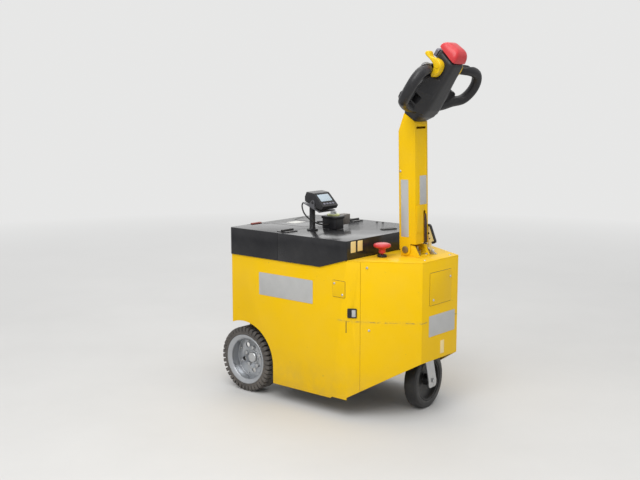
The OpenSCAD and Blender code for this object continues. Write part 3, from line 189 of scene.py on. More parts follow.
def surface(name, given):
    # One worn finish: colour drift, specks, scratches, dust, grime, grain and uneven gloss
    s, n = {**plain, **given}, Nodes(name)
    colour = n.mix(n.noise(s["driftScale"], 3), s["colour"], s["second"])
    if s["speck"]:
        spots = n.ramp(n.noise(s["speckScale"], 5, 0.7), *wear["speckAt"])
        colour = n.mix(n.times(spots, s["speck"]), colour, s["speckColour"])
    if s["scratch"]:
        long = n.noise(7, 3, 0.6, Scale=s["scratchWay"], Rotation=s["scratchTurn"])
        where = n.ramp(n.noise(3.2, 2, Location=(3, 1, 2)), *wear["scratchedPart"])
        lines = n.times(n.ramp(long, *wear["scratchAt"]), where)
        colour = n.mix(n.times(lines, s["scratch"]), colour, s["scratchColour"])
    if s["dust"]:
        soft = n.ramp(n.noise(11, 5, 0.65, Location=(5, 5, 5)), *wear["dustAt"])
        onTop = n.times(n.upward(), wear["dustOnTop"])
        lying = n.times(n.math("ADD", onTop, wear["dustOnSides"]), soft)
        colour = n.mix(n.times(lying, s["dust"]), colour, s["dustColour"])
    if s["low"]:
        near = n.ramp(n.part(n.coord, "Z"), s["lowTop"], wear["grimeFull"])
        grime = n.times(near, n.ramp(n.noise(16, 5, 0.7, Location=(1, 7, 0)), *wear["grimeAt"]))
        colour = n.mix(n.times(grime, s["low"]), colour, s["lowColour"])
    if s["extra"]:
        colour = s["extra"](n, colour)
    n.link(colour, n.bsdf.inputs["Base Color"])
    gloss = n.spread(n.noise(s["glossScale"], 4, 0.6, Location=(2, 0, 4)),
                     s["rough"] - s["roughDrift"], s["rough"] + s["roughDrift"])
    n.link(gloss, n.bsdf.inputs["Roughness"])
    for socket, key in (("Metallic", "metal"), ("Coat Weight", "coat"),
                        ("Coat Roughness", "coatRough"), ("Specular IOR Level", "specular")):
        n.bsdf.inputs[socket].default_value = s[key]
    shape = n.bump(n.noise(s["grain"], 2, 0.5), s["grainDepth"], wear["grainHigh"])
    if s["wave"]:
        shape = n.bump(n.noise(s["wave"], 2, 0.4), s["waveDepth"], wear["waveHigh"], shape)
    n.link(shape, n.bsdf.inputs["Normal"])
    return n.mat


# Line rubbed round the nose at the height of a bumper, and a wider faint smear
marks = {
    "drop": (-0.345, -0.337), "behind": (0.12, 0.2),
    "line": (0.0030, 0.0010), "lineShare": 0.75, "lineColour": (0.30, 0.22, 0.08),
    "smear": (0.011, 0.002), "smearShare": 0.22, "smearColour": (0.42, 0.31, 0.1),
    "lineBreaks": (0.45, 0.6), "smearBreaks": (0.4, 0.62),
}


def noseMarks(n, colour):
    height = n.math("ADD", n.part(n.coord, "Z"), n.spread(n.noise(9, 3), *marks["drop"]))
    off = n.math("ABSOLUTE", height)
    behind = n.ramp(n.part(n.coord, "Y"), *marks["behind"])
    broken = n.ramp(n.noise(38, 4, 0.7, Location=(4, 2, 1)), *marks["lineBreaks"])
    thin = n.times(n.ramp(off, *marks["line"]), broken)
    colour = n.mix(n.times(n.times(thin, behind), marks["lineShare"]), colour,
                   marks["lineColour"])
    patchy = n.ramp(n.noise(60, 4, 0.8), *marks["smearBreaks"])
    wide = n.times(n.ramp(off, *marks["smear"]), patchy)
    return n.mix(n.times(n.times(wide, behind), marks["smearShare"]), colour,
                 marks["smearColour"])


finishes = {
    "yellow_paint": dict(
        colour=(0.86, 0.53, 0.004), second=(0.80, 0.48, 0.004), rough=0.36, specular=0.07,
        grain=160, grainDepth=0.1, wave=22, waveDepth=0.06, speck=0.5, speckScale=55,
        speckColour=(0.36, 0.25, 0.05), scratch=0.4, dust=0.10, low=0.35, lowTop=0.2,
        extra=noseMarks),
    "chassis_black": dict(
        colour=(0.018, 0.018, 0.02), second=(0.03, 0.029, 0.028), rough=0.5, specular=0.3,
        dust=0.2, low=0.3, grain=300, speck=0.25, scratch=0.25, scratchColour=(0.2, 0.19, 0.18)),
    "black_fittings": dict(
        colour=(0.014, 0.014, 0.016), second=(0.024, 0.024, 0.026), rough=0.36, specular=0.3,
        dust=0.12, scratch=0.35, scratchColour=(0.25, 0.25, 0.25)),
    "lid_plastic": dict(
        colour=(0.010, 0.010, 0.012), second=(0.016, 0.016, 0.018), rough=0.2, roughDrift=0.07,
        specular=0.32, dust=0.10, dustColour=(0.42, 0.41, 0.4), scratch=0.4,
        scratchColour=(0.26, 0.26, 0.27), scratchWay=(3, 60, 3), grain=700, grainDepth=0.05,
        wave=9, waveDepth=0.1, glossScale=7),
    "head_plastic": dict(
        colour=(0.014, 0.014, 0.016), second=(0.022, 0.022, 0.025), rough=0.38, specular=0.32,
        dust=0.08, scratch=0.2, scratchColour=(0.1, 0.1, 0.1), grain=1100, grainDepth=0.3),
    "red_plastic": dict(
        colour=(0.60, 0.034, 0.04), second=(0.52, 0.026, 0.032), rough=0.3, dust=0.2,
        dustColour=(0.72, 0.36, 0.36), specular=0.4, scratch=0.2,
        scratchColour=(0.75, 0.3, 0.27), grain=800),
    "grey_plastic": dict(
        colour=(0.17, 0.17, 0.21), second=(0.13, 0.13, 0.165), rough=0.4, dust=0.12, grain=800,
        scratch=0.2, scratchColour=(0.35, 0.35, 0.38)),
    "throttle_plastic": dict(
        colour=(0.84, 0.55, 0.006), second=(0.74, 0.46, 0.005), rough=0.3, specular=0.25,
        dust=0.06, scratch=0.25, scratchColour=(0.5, 0.36, 0.06), speck=0.3, grain=700),
    "zinc_plate": dict(
        colour=(0.60, 0.61, 0.62), second=(0.46, 0.47, 0.48), rough=0.34, metal=0.85,
        driftScale=22, dust=0.15, low=0.25, scratch=0.3, scratchColour=(0.3, 0.3, 0.3),
        speck=0.35, speckColour=(0.25, 0.24, 0.22), grain=350, grainDepth=0.2),
    "cast_housing": dict(
        colour=(0.05, 0.05, 0.054), second=(0.07, 0.069, 0.068), rough=0.6, dust=0.3, low=0.3,
        grain=180, grainDepth=0.5),
    "bare_aluminium": dict(
        colour=(0.6, 0.61, 0.62), second=(0.5, 0.51, 0.52), rough=0.4, metal=0.9, dust=0.2),
    "tyre_rubber": dict(
        colour=(0.085, 0.078, 0.072), second=(0.05, 0.047, 0.045), rough=0.82, specular=0.3,
        dust=0.45, dustColour=(0.33, 0.29, 0.25), low=0.35, lowTop=0.25,
        lowColour=(0.30, 0.26, 0.22), grain=260, grainDepth=0.5, speck=0.3,
        speckColour=(0.2, 0.18, 0.16)),
    "castor_rubber": dict(
        colour=(0.012, 0.012, 0.013), second=(0.02, 0.02, 0.019), rough=0.4, specular=0.35,
        dust=0.08, low=0.2, lowTop=0.12, lowColour=(0.16, 0.15, 0.14), grain=350,
        scratch=0.35, scratchColour=(0.12, 0.12, 0.12)),
    "castor_plastic": dict(
        colour=(0.012, 0.012, 0.013), second=(0.02, 0.02, 0.02), rough=0.36, specular=0.35,
        dust=0.1, grain=600),
    "soft_rubber": dict(
        colour=(0.018, 0.018, 0.018), second=(0.03, 0.03, 0.03), rough=0.65, dust=0.15,
        grain=500),
    "silver_plate": dict(
        colour=(0.50, 0.50, 0.49), second=(0.42, 0.42, 0.41), rough=0.38, metal=0.25,
        driftScale=30, dust=0.1, scratch=0.5, scratchColour=(0.3, 0.3, 0.3), grain=500,
        grainDepth=0.08, speck=0.25),
    "pale_label": dict(
        colour=(0.62, 0.61, 0.57), second=(0.54, 0.53, 0.49), rough=0.5, dust=0.1, scratch=0.5,
        scratchColour=(0.35, 0.33, 0.3), grain=500, grainDepth=0.05, speck=0.4),
    "cream_face": dict(
        colour=(0.70, 0.60, 0.30), second=(0.62, 0.50, 0.2), rough=0.45, scratch=0.5,
        speck=0.5, dust=0.1),
    "ring_green": dict(
        colour=(0.62, 0.66, 0.30), second=(0.55, 0.60, 0.25), rough=0.4, scratch=0.3,
        dust=0.12),
    "screen_glass": dict(
        colour=(0.46, 0.54, 0.60), second=(0.40, 0.49, 0.56), rough=0.12, coat=0.6,
        coatRough=0.05, grainDepth=0.0, driftScale=25, dust=0.05),
    "deep_black": dict(
        colour=(0.006, 0.006, 0.006), second=(0.01, 0.01, 0.01), rough=0.55, dust=0.12),
    "plug_grey": dict(
        colour=(0.17, 0.15, 0.14), second=(0.12, 0.11, 0.10), rough=0.5, dust=0.2, grain=500,
        scratch=0.2),
    "bracket_grey": dict(
        colour=(0.10, 0.10, 0.11), second=(0.07, 0.07, 0.075), rough=0.35, metal=0.3,
        dust=0.15, scratch=0.4),
    "pale_yellow": dict(
        colour=(0.88, 0.72, 0.34), second=(0.74, 0.54, 0.2), rough=0.45, dust=0.2, speck=0.3),
    "rim_metal": dict(
        colour=(0.56, 0.58, 0.60), second=(0.30, 0.31, 0.33), rough=0.3, metal=0.8, dust=0.2,
        grain=60, speck=0.5, scratch=0.5),
    # Olive-brown metal; on the stop sleeve this colour is painted shade, the far ear's yellow
    # paint as it looks in shadow
    "bronze": dict(
        colour=(0.30, 0.22, 0.09), second=(0.2, 0.15, 0.07), rough=0.42, metal=0.6, dust=0.2,
        grain=300, speck=0.4),
    # Painted shade: the dark brown of the shaded inside of the slot in the column's rear face
    "slot_brown": dict(
        colour=(0.05, 0.022, 0.01), second=(0.03, 0.015, 0.01), rough=0.6, dust=0.1),
    # Painted shadow: yellow paint as it looks in the shade of the seams round the hatches
    "gap_dark": dict(
        colour=(0.20, 0.12, 0.01), second=(0.10, 0.06, 0.01), rough=0.6, dust=0.1),
    "rust_red": dict(
        colour=(0.28, 0.05, 0.035), second=(0.2, 0.04, 0.03), rough=0.5, dust=0.2, speck=0.4),
}
mats = {name: surface(name, s) for name, s in finishes.items()}
print("materials:", len(mats))

# Mesh helpers
bevelFrom, joinWithin = 32, 1e-7


def freshObject(name, mesh):
    o = bpy.data.objects.new(name, mesh)
    scene.collection.objects.link(o)
    return o


def meshOf(bm, name):
    mesh = bpy.data.meshes.new(name)
    bm.to_mesh(mesh)
    bm.free()
    return mesh


def baked(o, name):
    # The object's evaluated mesh on a plain object at the origin; the old one goes
    bpy.context.view_layer.update()
    seen = o.evaluated_get(bpy.context.evaluated_depsgraph_get())
    mesh = bpy.data.meshes.new_from_object(seen)
    mesh.transform(o.matrix_world)
    bpy.data.objects.remove(o)
    mesh.name = name
    return freshObject(name, mesh)


def softened(o, angle=40):
    for p in o.data.polygons:
        p.use_smooth = True
    o.data.set_sharp_from_angle(angle=radians(angle))
    return o


def addBevel(o, width, segments, angle):
    m = o.modifiers.new("edge", "BEVEL")
    m.width = width / 1000
    m.segments = segments
    m.limit_method = "ANGLE"
    m.angle_limit = radians(angle)


def bevelled(o, width, segments=2, smoothAngle=40):
    if width:
        addBevel(o, width, segments, bevelFrom)
    return softened(baked(o, o.name), smoothAngle)


def paint(o, material):
    o.data.materials.clear()
    o.data.materials.append(mats[material] if isinstance(material, str) else material)


def fix(piece, body, material):
    paint(piece, material)
    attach(piece, body)
    return piece


def meshFrom(name, verts, faces):
    mesh = bpy.data.meshes.new(name)
    mesh.from_pydata([Vector(v) for v in verts], [], faces)
    bm = bmesh.new()
    bm.from_mesh(mesh)
    bmesh.ops.remove_doubles(bm, verts=bm.verts, dist=joinWithin)
    bmesh.ops.recalc_face_normals(bm, faces=bm.faces)
    bm.to_mesh(mesh)
    bm.free()
    return mesh


def solid(name, verts, faces):
    return freshObject(name, meshFrom(name, verts, faces))


def joined(name, parts):
    bm = bmesh.new()
    for o in parts:
        bm.from_mesh(o.data)
        bpy.data.objects.remove(o)
    return freshObject(name, meshOf(bm, name))


def circle(cx, cy, r, steps):
    return [(cx + r * cos(2 * pi * i / steps), cy + r * sin(2 * pi * i / steps))
            for i in range(steps)]


def roundedOutline(w, h, r, steps=5):
    points = []
    for cx, cy, start in ((w / 2 - r, h / 2 - r, 0), (r - w / 2, h / 2 - r, 90),
                          (r - w / 2, r - h / 2, 180), (w / 2 - r, r - h / 2, 270)):
        for i in range(steps + 1):
            a = radians(start + 90 * i / steps)
            points.append((cx + r * cos(a), cy + r * sin(a)))
    return points


def between(a, b, c, d, t):
    # Smooth run from b to c, with a before them and d after
    return 0.5 * (2 * b + t * (c - a) + t * t * (2 * a - 5 * b + 4 * c - d)
                  + t ** 3 * (3 * b - a - 3 * c + d))


def smoothLoop(points, steps=3):
    n = len(points)
    out = []
    for i in range(n):
        near = [Vector(points[(i + k) % n]) for k in (-1, 0, 1, 2)]
        out += [tuple(between(*near, k / steps)) for k in range(steps)]
    return out


def smoothRun(points, steps=6):
    v = [Vector(p) for p in points]
    out = []
    for i in range(len(v) - 1):
        near = v[max(i - 1, 0)], v[i], v[i + 1], v[min(i + 2, len(v) - 1)]
        out += [between(*near, k / steps) for k in range(steps)]
    return out + [v[-1]]


def sideFaces(rows, count, around=False):
    # Quads between rows of count points; around also joins the last row to the first
    faces = []
    for i in range(rows if around else rows - 1):
        j = (i + 1) % rows
        for k in range(count):
            m = (k + 1) % count
            faces.append((i * count + k, i * count + m, j * count + m, j * count + k))
    return faces


def cappedFaces(rows, count):
    # The same with a face over each end
    last = (rows - 1) * count
    return sideFaces(rows, count) + [tuple(range(count)),
                                     tuple(last + k for k in range(count))]


def slab(name, outline, thickness, way, edge):
    # Plate on the plane that way puts at z = 0
    verts = [way @ (Vector((x, y, z)) / 1000) for z in (0, thickness) for x, y in outline]
    return bevelled(solid(name, verts, cappedFaces(2, len(outline))), edge)


def block(name, w, l, h, r, way, edge):
    # Flat block with rounded corners: width, length, height and corner
    return slab(name, roundedOutline(w, l, r), h, way, edge)


def lathe(name, profile, way, steps=48):
    # Solid of revolution about way's own Z; profile is (radius, height)
    verts, faces = [], []
    n = len(profile)
    for c, s in circle(0, 0, 1, steps):
        verts += [way @ (Vector((r * c, r * s, z)) / 1000) for r, z in profile]
    for i in range(steps):
        j = (i + 1) % steps
        for k in range(n - 1):
            faces.append((i * n + k, j * n + k, j * n + k + 1, i * n + k + 1))
    if profile[0] != profile[-1]:
        faces.append(tuple(i * n for i in range(steps))[::-1])
        faces.append(tuple(i * n + n - 1 for i in range(steps)))
    return bevelled(solid(name, verts, faces), 0)


def hose(name, points, radius, sides=14):
    # Closed round tube along points that lie close together
    verts, n, side = [], len(points), None
    for i, p in enumerate(points):
        along = (points[min(i + 1, n - 1)] - points[max(i - 1, 0)]).normalized()
        if side is None:
            side = along.orthogonal().normalized()
        side = (side - along * side.dot(along)).normalized()
        up = along.cross(side)
        verts += [p + radius / 1000 * (c * side + s * up) for c, s in circle(0, 0, 1, sides)]
    return bevelled(solid(name, verts, cappedFaces(n, sides)), 0)


def facing(spot, out, up=toTop):
    # Frame whose Z is out and whose Y is nearest to up
    z = Vector(out).normalized()
    x = Vector(up).cross(z).normalized()
    y = z.cross(x)
    m = Matrix((x, y, z)).transposed().to_4x4()
    m.translation = spot
    return m


# Dressed solids: cleaned copies with soft edges, widths in millimetres
bodyOf = {n: b for b, members in frame["record"]["behaviour"]["bodies"].items()
          for n in members}
slotOf = {p["node"]: p["material_slot"] for p in frame["record"]["subparts"]}
weld, flat = 1e-6, 0.6


def nodeCopy(node, name, clean):
    bm = bmesh.new()
    bm.from_mesh(frame["nodes"][node].data)
    bmesh.ops.remove_doubles(bm, verts=bm.verts, dist=weld)
    if clean:
        bmesh.ops.dissolve_limit(bm, angle_limit=radians(flat), verts=bm.verts, edges=bm.edges)
        bmesh.ops.recalc_face_normals(bm, faces=bm.faces)
    return freshObject(name, meshOf(bm, name))


def dress(node, edge, material):
    piece = bevelled(nodeCopy(node, node + "_look", True), edge)
    paint(piece, material)
    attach(piece, bodyOf[node])
    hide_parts(node)


edges = {
    "side_panel_left": 1.1, "side_panel_right": 1.1, "front_panel": 1.1, "nose_cover": 1.1,
    "deck_plate": 1.1, "side_hatch": 0.6, "rear_hatch": 0.6, "lid_rear": 1.2,
    "lid_front": 1.2, "hinge_fixed": 0.4, "hinge_moving": 0.4, "panel_latch": 0.6,
    "display_bracket": 0.6, "display_unit": 2.2, "key_switch": 0.8, "estop_base": 1,
    "tiller_bracket": 0.9, "tiller_pin": 1.2, "stop_rod": 0.6, "tiller_column": 1.1,
    "column_cover": 0.7, "column_buffer": 1.2, "lever_stand": 0.6, "brake_lever": 0.8,
    "lever_grip": 1.2, "horn_button": 3, "rim_left": 1.2, "rim_right": 1.2,
    "wheel_bolts_left": 0.8, "wheel_bolts_right": 0.8, "hub_left": 1.2, "hub_right": 1.2,
    "castor_plate": 0.8, "castor_bolts": 0.6, "castor_fork": 1.2, "castor_hub": 1.4,
    "castor_tyre": 2.2, "castor_axle": 0.7, "hitch_rail": 1.2, "hitch_bracket": 1.4,
    "hitch_pin": 1.2, "hitch_bolts": 0.7, "rail_left": 0.8, "rail_right": 0.8,
    "front_crossmember": 0.8, "castor_bridge": 0.8, "battery_tray": 0.8, "axle_housing": 2,
    "drive_motor": 1.5, "batteries": 4, "controller": 0.6,
}
special = {
    "brake_lever": "cream_face", "tiller_pin": "bronze", "stop_rod": "bronze",
    "display_bracket": "bracket_grey", "hinge_fixed": "black_fittings",
    "hinge_moving": "black_fittings", "rim_left": "rim_metal", "rim_right": "rim_metal",
}
for node, edge in edges.items():
    dress(node, edge, special.get(node, slotOf[node]))
print("dressed nodes:", len(edges))

# Moulded head of the tiller
headWay = Matrix.Translation(place(0, 127.39, 1014.97)) @ Matrix.Rotation(radians(-33), 4, "X")
head = {
    "voxel": 0.0017, "smoothShare": 0.5, "smooth": 7, "sharp": 38,
    # edge of the web that joins each grip loop to the body, (across, along)
    "web": [(36, 156), (52, 158), (70, 153), (86, 142), (98, 124), (106, 108), (120, 99),
            (140, 95), (152, 88), (150, 70), (134, 54), (106, 38), (60, 28), (36, 24)],
    "webDepth": (-32, -13),
    # rear slope between body and web, sections (across, depth) at three heights
    "flank": {30: [(34, 23), (45, 21), (97, -19), (97, -26), (34, -26)],
              105: [(34, 25), (45, 23), (97, -19), (97, -26), (34, -26)],
              158: [(34, 22), (38, 20), (62, -16), (62, -26), (34, -26)]},
    "pocket": [(68, 83), (93, 98), (97, 68), (75, 58)], "pocketDepth": (-24, 60),
}


def prism(name, outline, low, high, axes):
    # Closed prism: outline in two of the head's axes, low to high along the third
    a, b, c = axes
    verts = []
    for t in (low, high):
        for p, q in outline:
            v = [0, 0, 0]
            v[a], v[b], v[c] = p / 1000, q / 1000, t / 1000
            verts.append(headWay @ Vector(v))
    return solid(name, verts, cappedFaces(2, len(outline)))


def mouldedHead(s):
    parts = [nodeCopy(node, node + "_copy", False) for node in ("head_upper", "head_lower")]
    cuts = []
    for side in (1, -1):
        web = [(side * x, v) for x, v in s["web"]]
        parts.append(prism("web", web, *s["webDepth"], (0, 2, 1)))
        verts = [headWay @ (Vector((side * x, w, v)) / 1000)
                 for v, section in s["flank"].items() for x, w in section]
        parts.append(solid("flank", verts, cappedFaces(3, len(verts) // 3)))
        pocket = [(side * x, v) for x, v in s["pocket"]]
        cuts.append(prism("pocket", pocket, *s["pocketDepth"], (0, 2, 1)))
    shell = joined("tiller_head", parts)
    m = shell.modifiers.new("one", "REMESH")
    m.mode = "VOXEL"
    m.voxel_size = s["voxel"]
    m = shell.modifiers.new("soft", "SMOOTH")
    m.factor = s["smoothShare"]
    m.iterations = s["smooth"]
    shell = baked(shell, "tiller_head")
    for cut in cuts:
        m = shell.modifiers.new("cut", "BOOLEAN")
        m.operation = "DIFFERENCE"
        m.object = cut
        m.solver = "EXACT"
    shell = softened(baked(shell, "tiller_head"), s["sharp"])
    for cut in cuts:
        bpy.data.objects.remove(cut)
    fix(shell, "tiller", "head_plastic")
    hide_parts("head_upper", "head_lower")


mouldedHead(head)

throttle = {
    "from": 42, "to": 68, "edge": 3.5, "boss": 9.5, "shaft": 6, "axis": (-6, 203.28),
    # side view of one wing, (depth, along)
    "wing": [(-70, 212), (-67, 220), (-60, 223), (-52, 217), (-45, 213), (-37, 214),
             (-28, 217.5), (-15, 219), (-3, 216), (5, 209), (8.5, 198), (9, 184), (5.5, 171),
             (-1, 162), (-8, 161), (-12.5, 168), (-13.5, 181), (-18, 193), (-29, 200),
             (-42, 203.5), (-56, 205.5), (-65, 207)],
}


def throttleWings(s):
    low, high, way = s["from"], s["to"], (1, 2, 0)
    boss, rod = circle(*s["axis"], s["boss"], 28), circle(*s["axis"], s["shaft"], 24)
    parts = []
    for side in (1, -1):
        wing = prism("wing", smoothLoop(s["wing"]), side * low, side * high, way)
        addBevel(wing, s["edge"], 3, 50)
        parts.append(baked(wing, "wing"))
        parts.append(prism("boss", boss, side * (high - 1), side * (high + 2), way))
    parts.append(prism("rod", rod, -low - 1, low + 1, way))
    wings = softened(joined("throttle_wings", parts))
    fix(wings, "throttle", "throttle_plastic")
    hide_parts("throttle")


throttleWings(throttle)

belly = {
    "base": 239, "middle": -13, "slope": -0.25, "levelAt": 42, "across": 39, "deep": 40,
    "corner": 6.5, "high": 34, "skirt": 2, "rows": 16, "steps": 64,
    "swellAcross": 0.55, "swellDeep": 0.62,
    "stem": [(-22, -32), (22, -32), (22, 6), (-22, 6)], "stemRun": (220, 241),
}


def bellyButton(s):
    rings = [(0, 0.97, 0.97), (1, 1, 1), (s["skirt"], 1, 1)]
    for k in range(1, s["rows"]):
        t = k / s["rows"] * pi / 2
        rings.append((s["skirt"] + (s["high"] - s["skirt"]) * sin(t),
                      cos(t) ** s["swellAcross"], cos(t) ** s["swellDeep"]))
    squared = [[abs(v) ** (2 / s["corner"]) * (1 if v >= 0 else -1) for v in point]
               for point in circle(0, 0, 1, s["steps"])]
    verts = []
    for h, a, b in rings:
        for x, w in squared:
            w *= s["deep"] * b
            v = s["base"] + h + s["slope"] * w * (1 - h / s["levelAt"])
            verts.append(headWay @ (Vector((s["across"] * a * x, s["middle"] + w, v)) / 1000))
    cap = bevelled(solid("safety_button", verts, cappedFaces(len(rings), s["steps"])), 0)
    stem = prism("stem", s["stem"], *s["stemRun"], (0, 1, 2))
    cap = softened(joined("safety_button", [cap, stem]))
    fix(cap, "belly_button", "red_plastic")
    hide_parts("belly_button")


bellyButton(belly)
print("tiller head done")

# Tyres: blocks on both shoulders round a plain middle
tyre = {
    "middle": 193.5, "axle": (-487, 121), "blocks": 40, "sharp": 28,
    # half section, (offset from the middle, radius), over a block and over a groove
    "block": [(0, 121), (13, 121), (14, 121), (31, 121), (35, 119.6), (37.2, 116.5), (38, 112),
              (38, 105), (37.7, 103.2), (37, 100.5), (37.7, 98), (38, 95.5), (37.5, 93.6),
              (33, 93.6)],
    "groove": [(0, 121), (13, 121), (14.4, 111), (30, 111), (32.4, 110.2), (33.6, 108.6),
               (34.4, 106.5), (35.2, 103.6), (37.4, 102), (37, 100.5), (37.7, 98), (38, 95.5),
               (37.5, 93.6), (33, 93.6)],
    # shares of one pitch, and which half section stands there
    "pitch": [(0.0, "block"), (0.16, "block"), (0.32, "block"), (0.48, "block"),
              (0.64, "block"), (0.69, "groove"), (0.95, "groove")],
}


def treadTyre(s, side):
    y, z = s["axle"]
    verts, count = [], 2 * len(s["block"]) - 1
    for i in range(s["blocks"]):
        for share, kind in s["pitch"]:
            a, half = (i + share) * 2 * pi / s["blocks"], s[kind]
            for u, r in half[:0:-1] + [(-u, r) for u, r in half]:
                verts.append(place(side * (s["middle"] + u), y + r * cos(a), z + r * sin(a)))
    return verts, sideFaces(len(verts) // count, count, around=True)


for name, side in (("left", 1), ("right", -1)):
    node = "tyre_" + name
    piece = solid("tread_" + name, *treadTyre(tyre, side))
    piece = bevelled(piece, 0, smoothAngle=tyre["sharp"])
    fix(piece, bodyOf[node], "tyre_rubber")
    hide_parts(node)
print("tyres done")

# Bare plates where the photograph has labels
plates = {
    "side": dict(size=(255, 82, 0.8), round=3, spot=(237.5, -277.5, 421), out=toLeft,
                 finish="silver_plate"),
    "data": dict(size=(157, 72, 0.8), round=2, spot=(-12.5, 217, 324), out=toRear,
                 finish="silver_plate"),
    "small": dict(size=(23, 46, 0.4), round=1.5, spot=(-16, 217, 241), out=toRear,
                  finish="pale_yellow"),
    "lid_first": dict(size=(27, 38, 0.4), round=2, spot=(203, 0, 590), out=toRear,
                      finish="pale_yellow"),
    "lid_second": dict(size=(27, 36, 0.4), round=2, spot=(166, 0, 590.5), out=toRear,
                       finish="pale_yellow"),
}
for name, p in plates.items():
    way = facing(place(*p["spot"]), p["out"])
    plate = block(name + "_plate", *p["size"], p["round"], way, 0.2)
    fix(plate, "base", p["finish"])

columnPivot = place(0, 96, 571)
columnTurn = Matrix.Rotation(radians(1.5), 4, "X")


def columnSpot(x, y, z):
    # Measured from the column's pivot, along the leaning column
    return columnPivot + columnTurn @ (Vector((x, y, z)) / 1000)


def onColumn(x, y, z, out):
    return facing(columnSpot(x, y, z), columnTurn @ out, columnTurn @ toTop)


columnPlates = {
    "column_side": dict(size=(31, 195, 0.5), round=1.5, spot=(37, -1.3, 141.6), out=toLeft),
    "column_rear": dict(size=(40, 98, 0.5), round=1.5, spot=(-9.5, 42.5, 203), out=toRear),
}
for name, p in columnPlates.items():
    way = onColumn(*p["spot"], p["out"])
    plate = block(name + "_plate", *p["size"], p["round"], way, 0.2)
    fix(plate, "tiller", "silver_plate")
print("plates done")

# Screws, rivets and nuts: small parts that one Geometry Nodes tree sets on points


def ringOf(bm, r, z, steps):
    return [bm.verts.new((x / 1000, y / 1000, z / 1000)) for x, y in circle(0, 0, r, steps)]


def band(bm, a, b):
    # Quads between two rings with the same number of points
    n = len(a)
    for i in range(n):
        bm.faces.new((a[i], a[(i + 1) % n], b[(i + 1) % n], b[i]))


def screwHead(name, radius, height, socket):
    # Button head with a hexagon socket, standing on z = 0
    bm = bmesh.new()
    steps = 18
    rows = [ringOf(bm, radius * r, height * z, steps)
            for r, z in ((1, -0.4), (1, 0.25), (0.86, 0.7), (0.6, 1))]
    rim, floor = (ringOf(bm, socket, height * z, 6) for z in (1, 0.3))
    for a, b in zip(rows, rows[1:]):
        band(bm, a, b)
    top = rows[-1]
    for i in range(6):
        for k in range(3):
            bm.faces.new((top[3 * i + k], top[(3 * i + k + 1) % steps], rim[i]))
        bm.faces.new((top[(3 * i + 3) % steps], rim[(i + 1) % 6], rim[i]))
    band(bm, rim, floor)
    bm.faces.new(floor)
    bm.faces.new(rows[0][::-1])
    bmesh.ops.recalc_face_normals(bm, faces=bm.faces)
    return freshObject(name, meshOf(bm, name))


def nutPart(name, radius, height, stud):
    # Hexagon nut with a stud through it, standing on z = 0
    bm = bmesh.new()
    rows = [ringOf(bm, radius * r, height * z, 6) for r, z in ((1, 0), (1, 0.85), (0.86, 1))]
    ends = [ringOf(bm, stud, height * z, 12) for z in (0.9, 1.35)]
    for group in (rows, ends):
        for a, b in zip(group, group[1:]):
            band(bm, a, b)
        bm.faces.new(group[0][::-1])
        bm.faces.new(group[-1])
    return freshObject(name, meshOf(bm, name))


def scatterTree():
    # Sets a small part on every point, turned along the point's own direction
    t = bpy.data.node_groups.new("set_on_points", "GeometryNodeTree")
    face = t.interface
    face.new_socket(name="Geometry", in_out="INPUT", socket_type="NodeSocketGeometry")
    part = face.new_socket(name="Part", in_out="INPUT", socket_type="NodeSocketObject")
    size = face.new_socket(name="Size", in_out="INPUT", socket_type="NodeSocketFloat")
    cover = face.new_socket(name="Finish", in_out="INPUT", socket_type="NodeSocketMaterial")
    face.new_socket(name="Geometry", in_out="OUTPUT", socket_type="NodeSocketGeometry")
    add, link = t.nodes.new, t.links.new
    start, end = add("NodeGroupInput"), add("NodeGroupOutput")
    info = add("GeometryNodeObjectInfo")
    link(start.outputs["Part"], info.inputs["Object"])
    way = add("GeometryNodeInputNamedAttribute")
    way.data_type = "FLOAT_VECTOR"
    way.inputs["Name"].default_value = "way"
    turn = add("FunctionNodeAlignRotationToVector")
    turn.axis = "Z"
    link(way.outputs["Attribute"], turn.inputs["Vector"])
    spread = add("GeometryNodeInstanceOnPoints")
    link(start.outputs["Geometry"], spread.inputs["Points"])
    link(info.outputs["Geometry"], spread.inputs["Instance"])
    link(turn.outputs["Rotation"], spread.inputs["Rotation"])
    link(start.outputs["Size"], spread.inputs["Scale"])
    real = add("GeometryNodeRealizeInstances")
    link(spread.outputs["Instances"], real.inputs["Geometry"])
    cloth = add("GeometryNodeSetMaterial")
    link(real.outputs["Geometry"], cloth.inputs["Geometry"])
    link(start.outputs["Finish"], cloth.inputs["Material"])
    link(cloth.outputs["Geometry"], end.inputs["Geometry"])
    return t, part.identifier, size.identifier, cover.identifier


setOnPoints, partInput, sizeInput, finishInput = scatterTree()


def scatter(name, body, part, spots, material):
    # spots is a list of (point, outward direction); the slot has the finish's name
    mesh = bpy.data.meshes.new(name)
    mesh.from_pydata([tuple(p) for p, w in spots], [], [])
    way = mesh.attributes.new("way", "FLOAT_VECTOR", "POINT")
    way.data.foreach_set("vector", [c for p, w in spots for c in w.normalized()])
    o = freshObject(name, mesh)
    m = o.modifiers.new("set", "NODES")
    m.node_group = setOnPoints
    m[partInput] = part
    m[sizeInput] = 1.0
    m[finishInput] = mats[material]
    piece = softened(baked(o, name), 35)
    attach(piece, body)


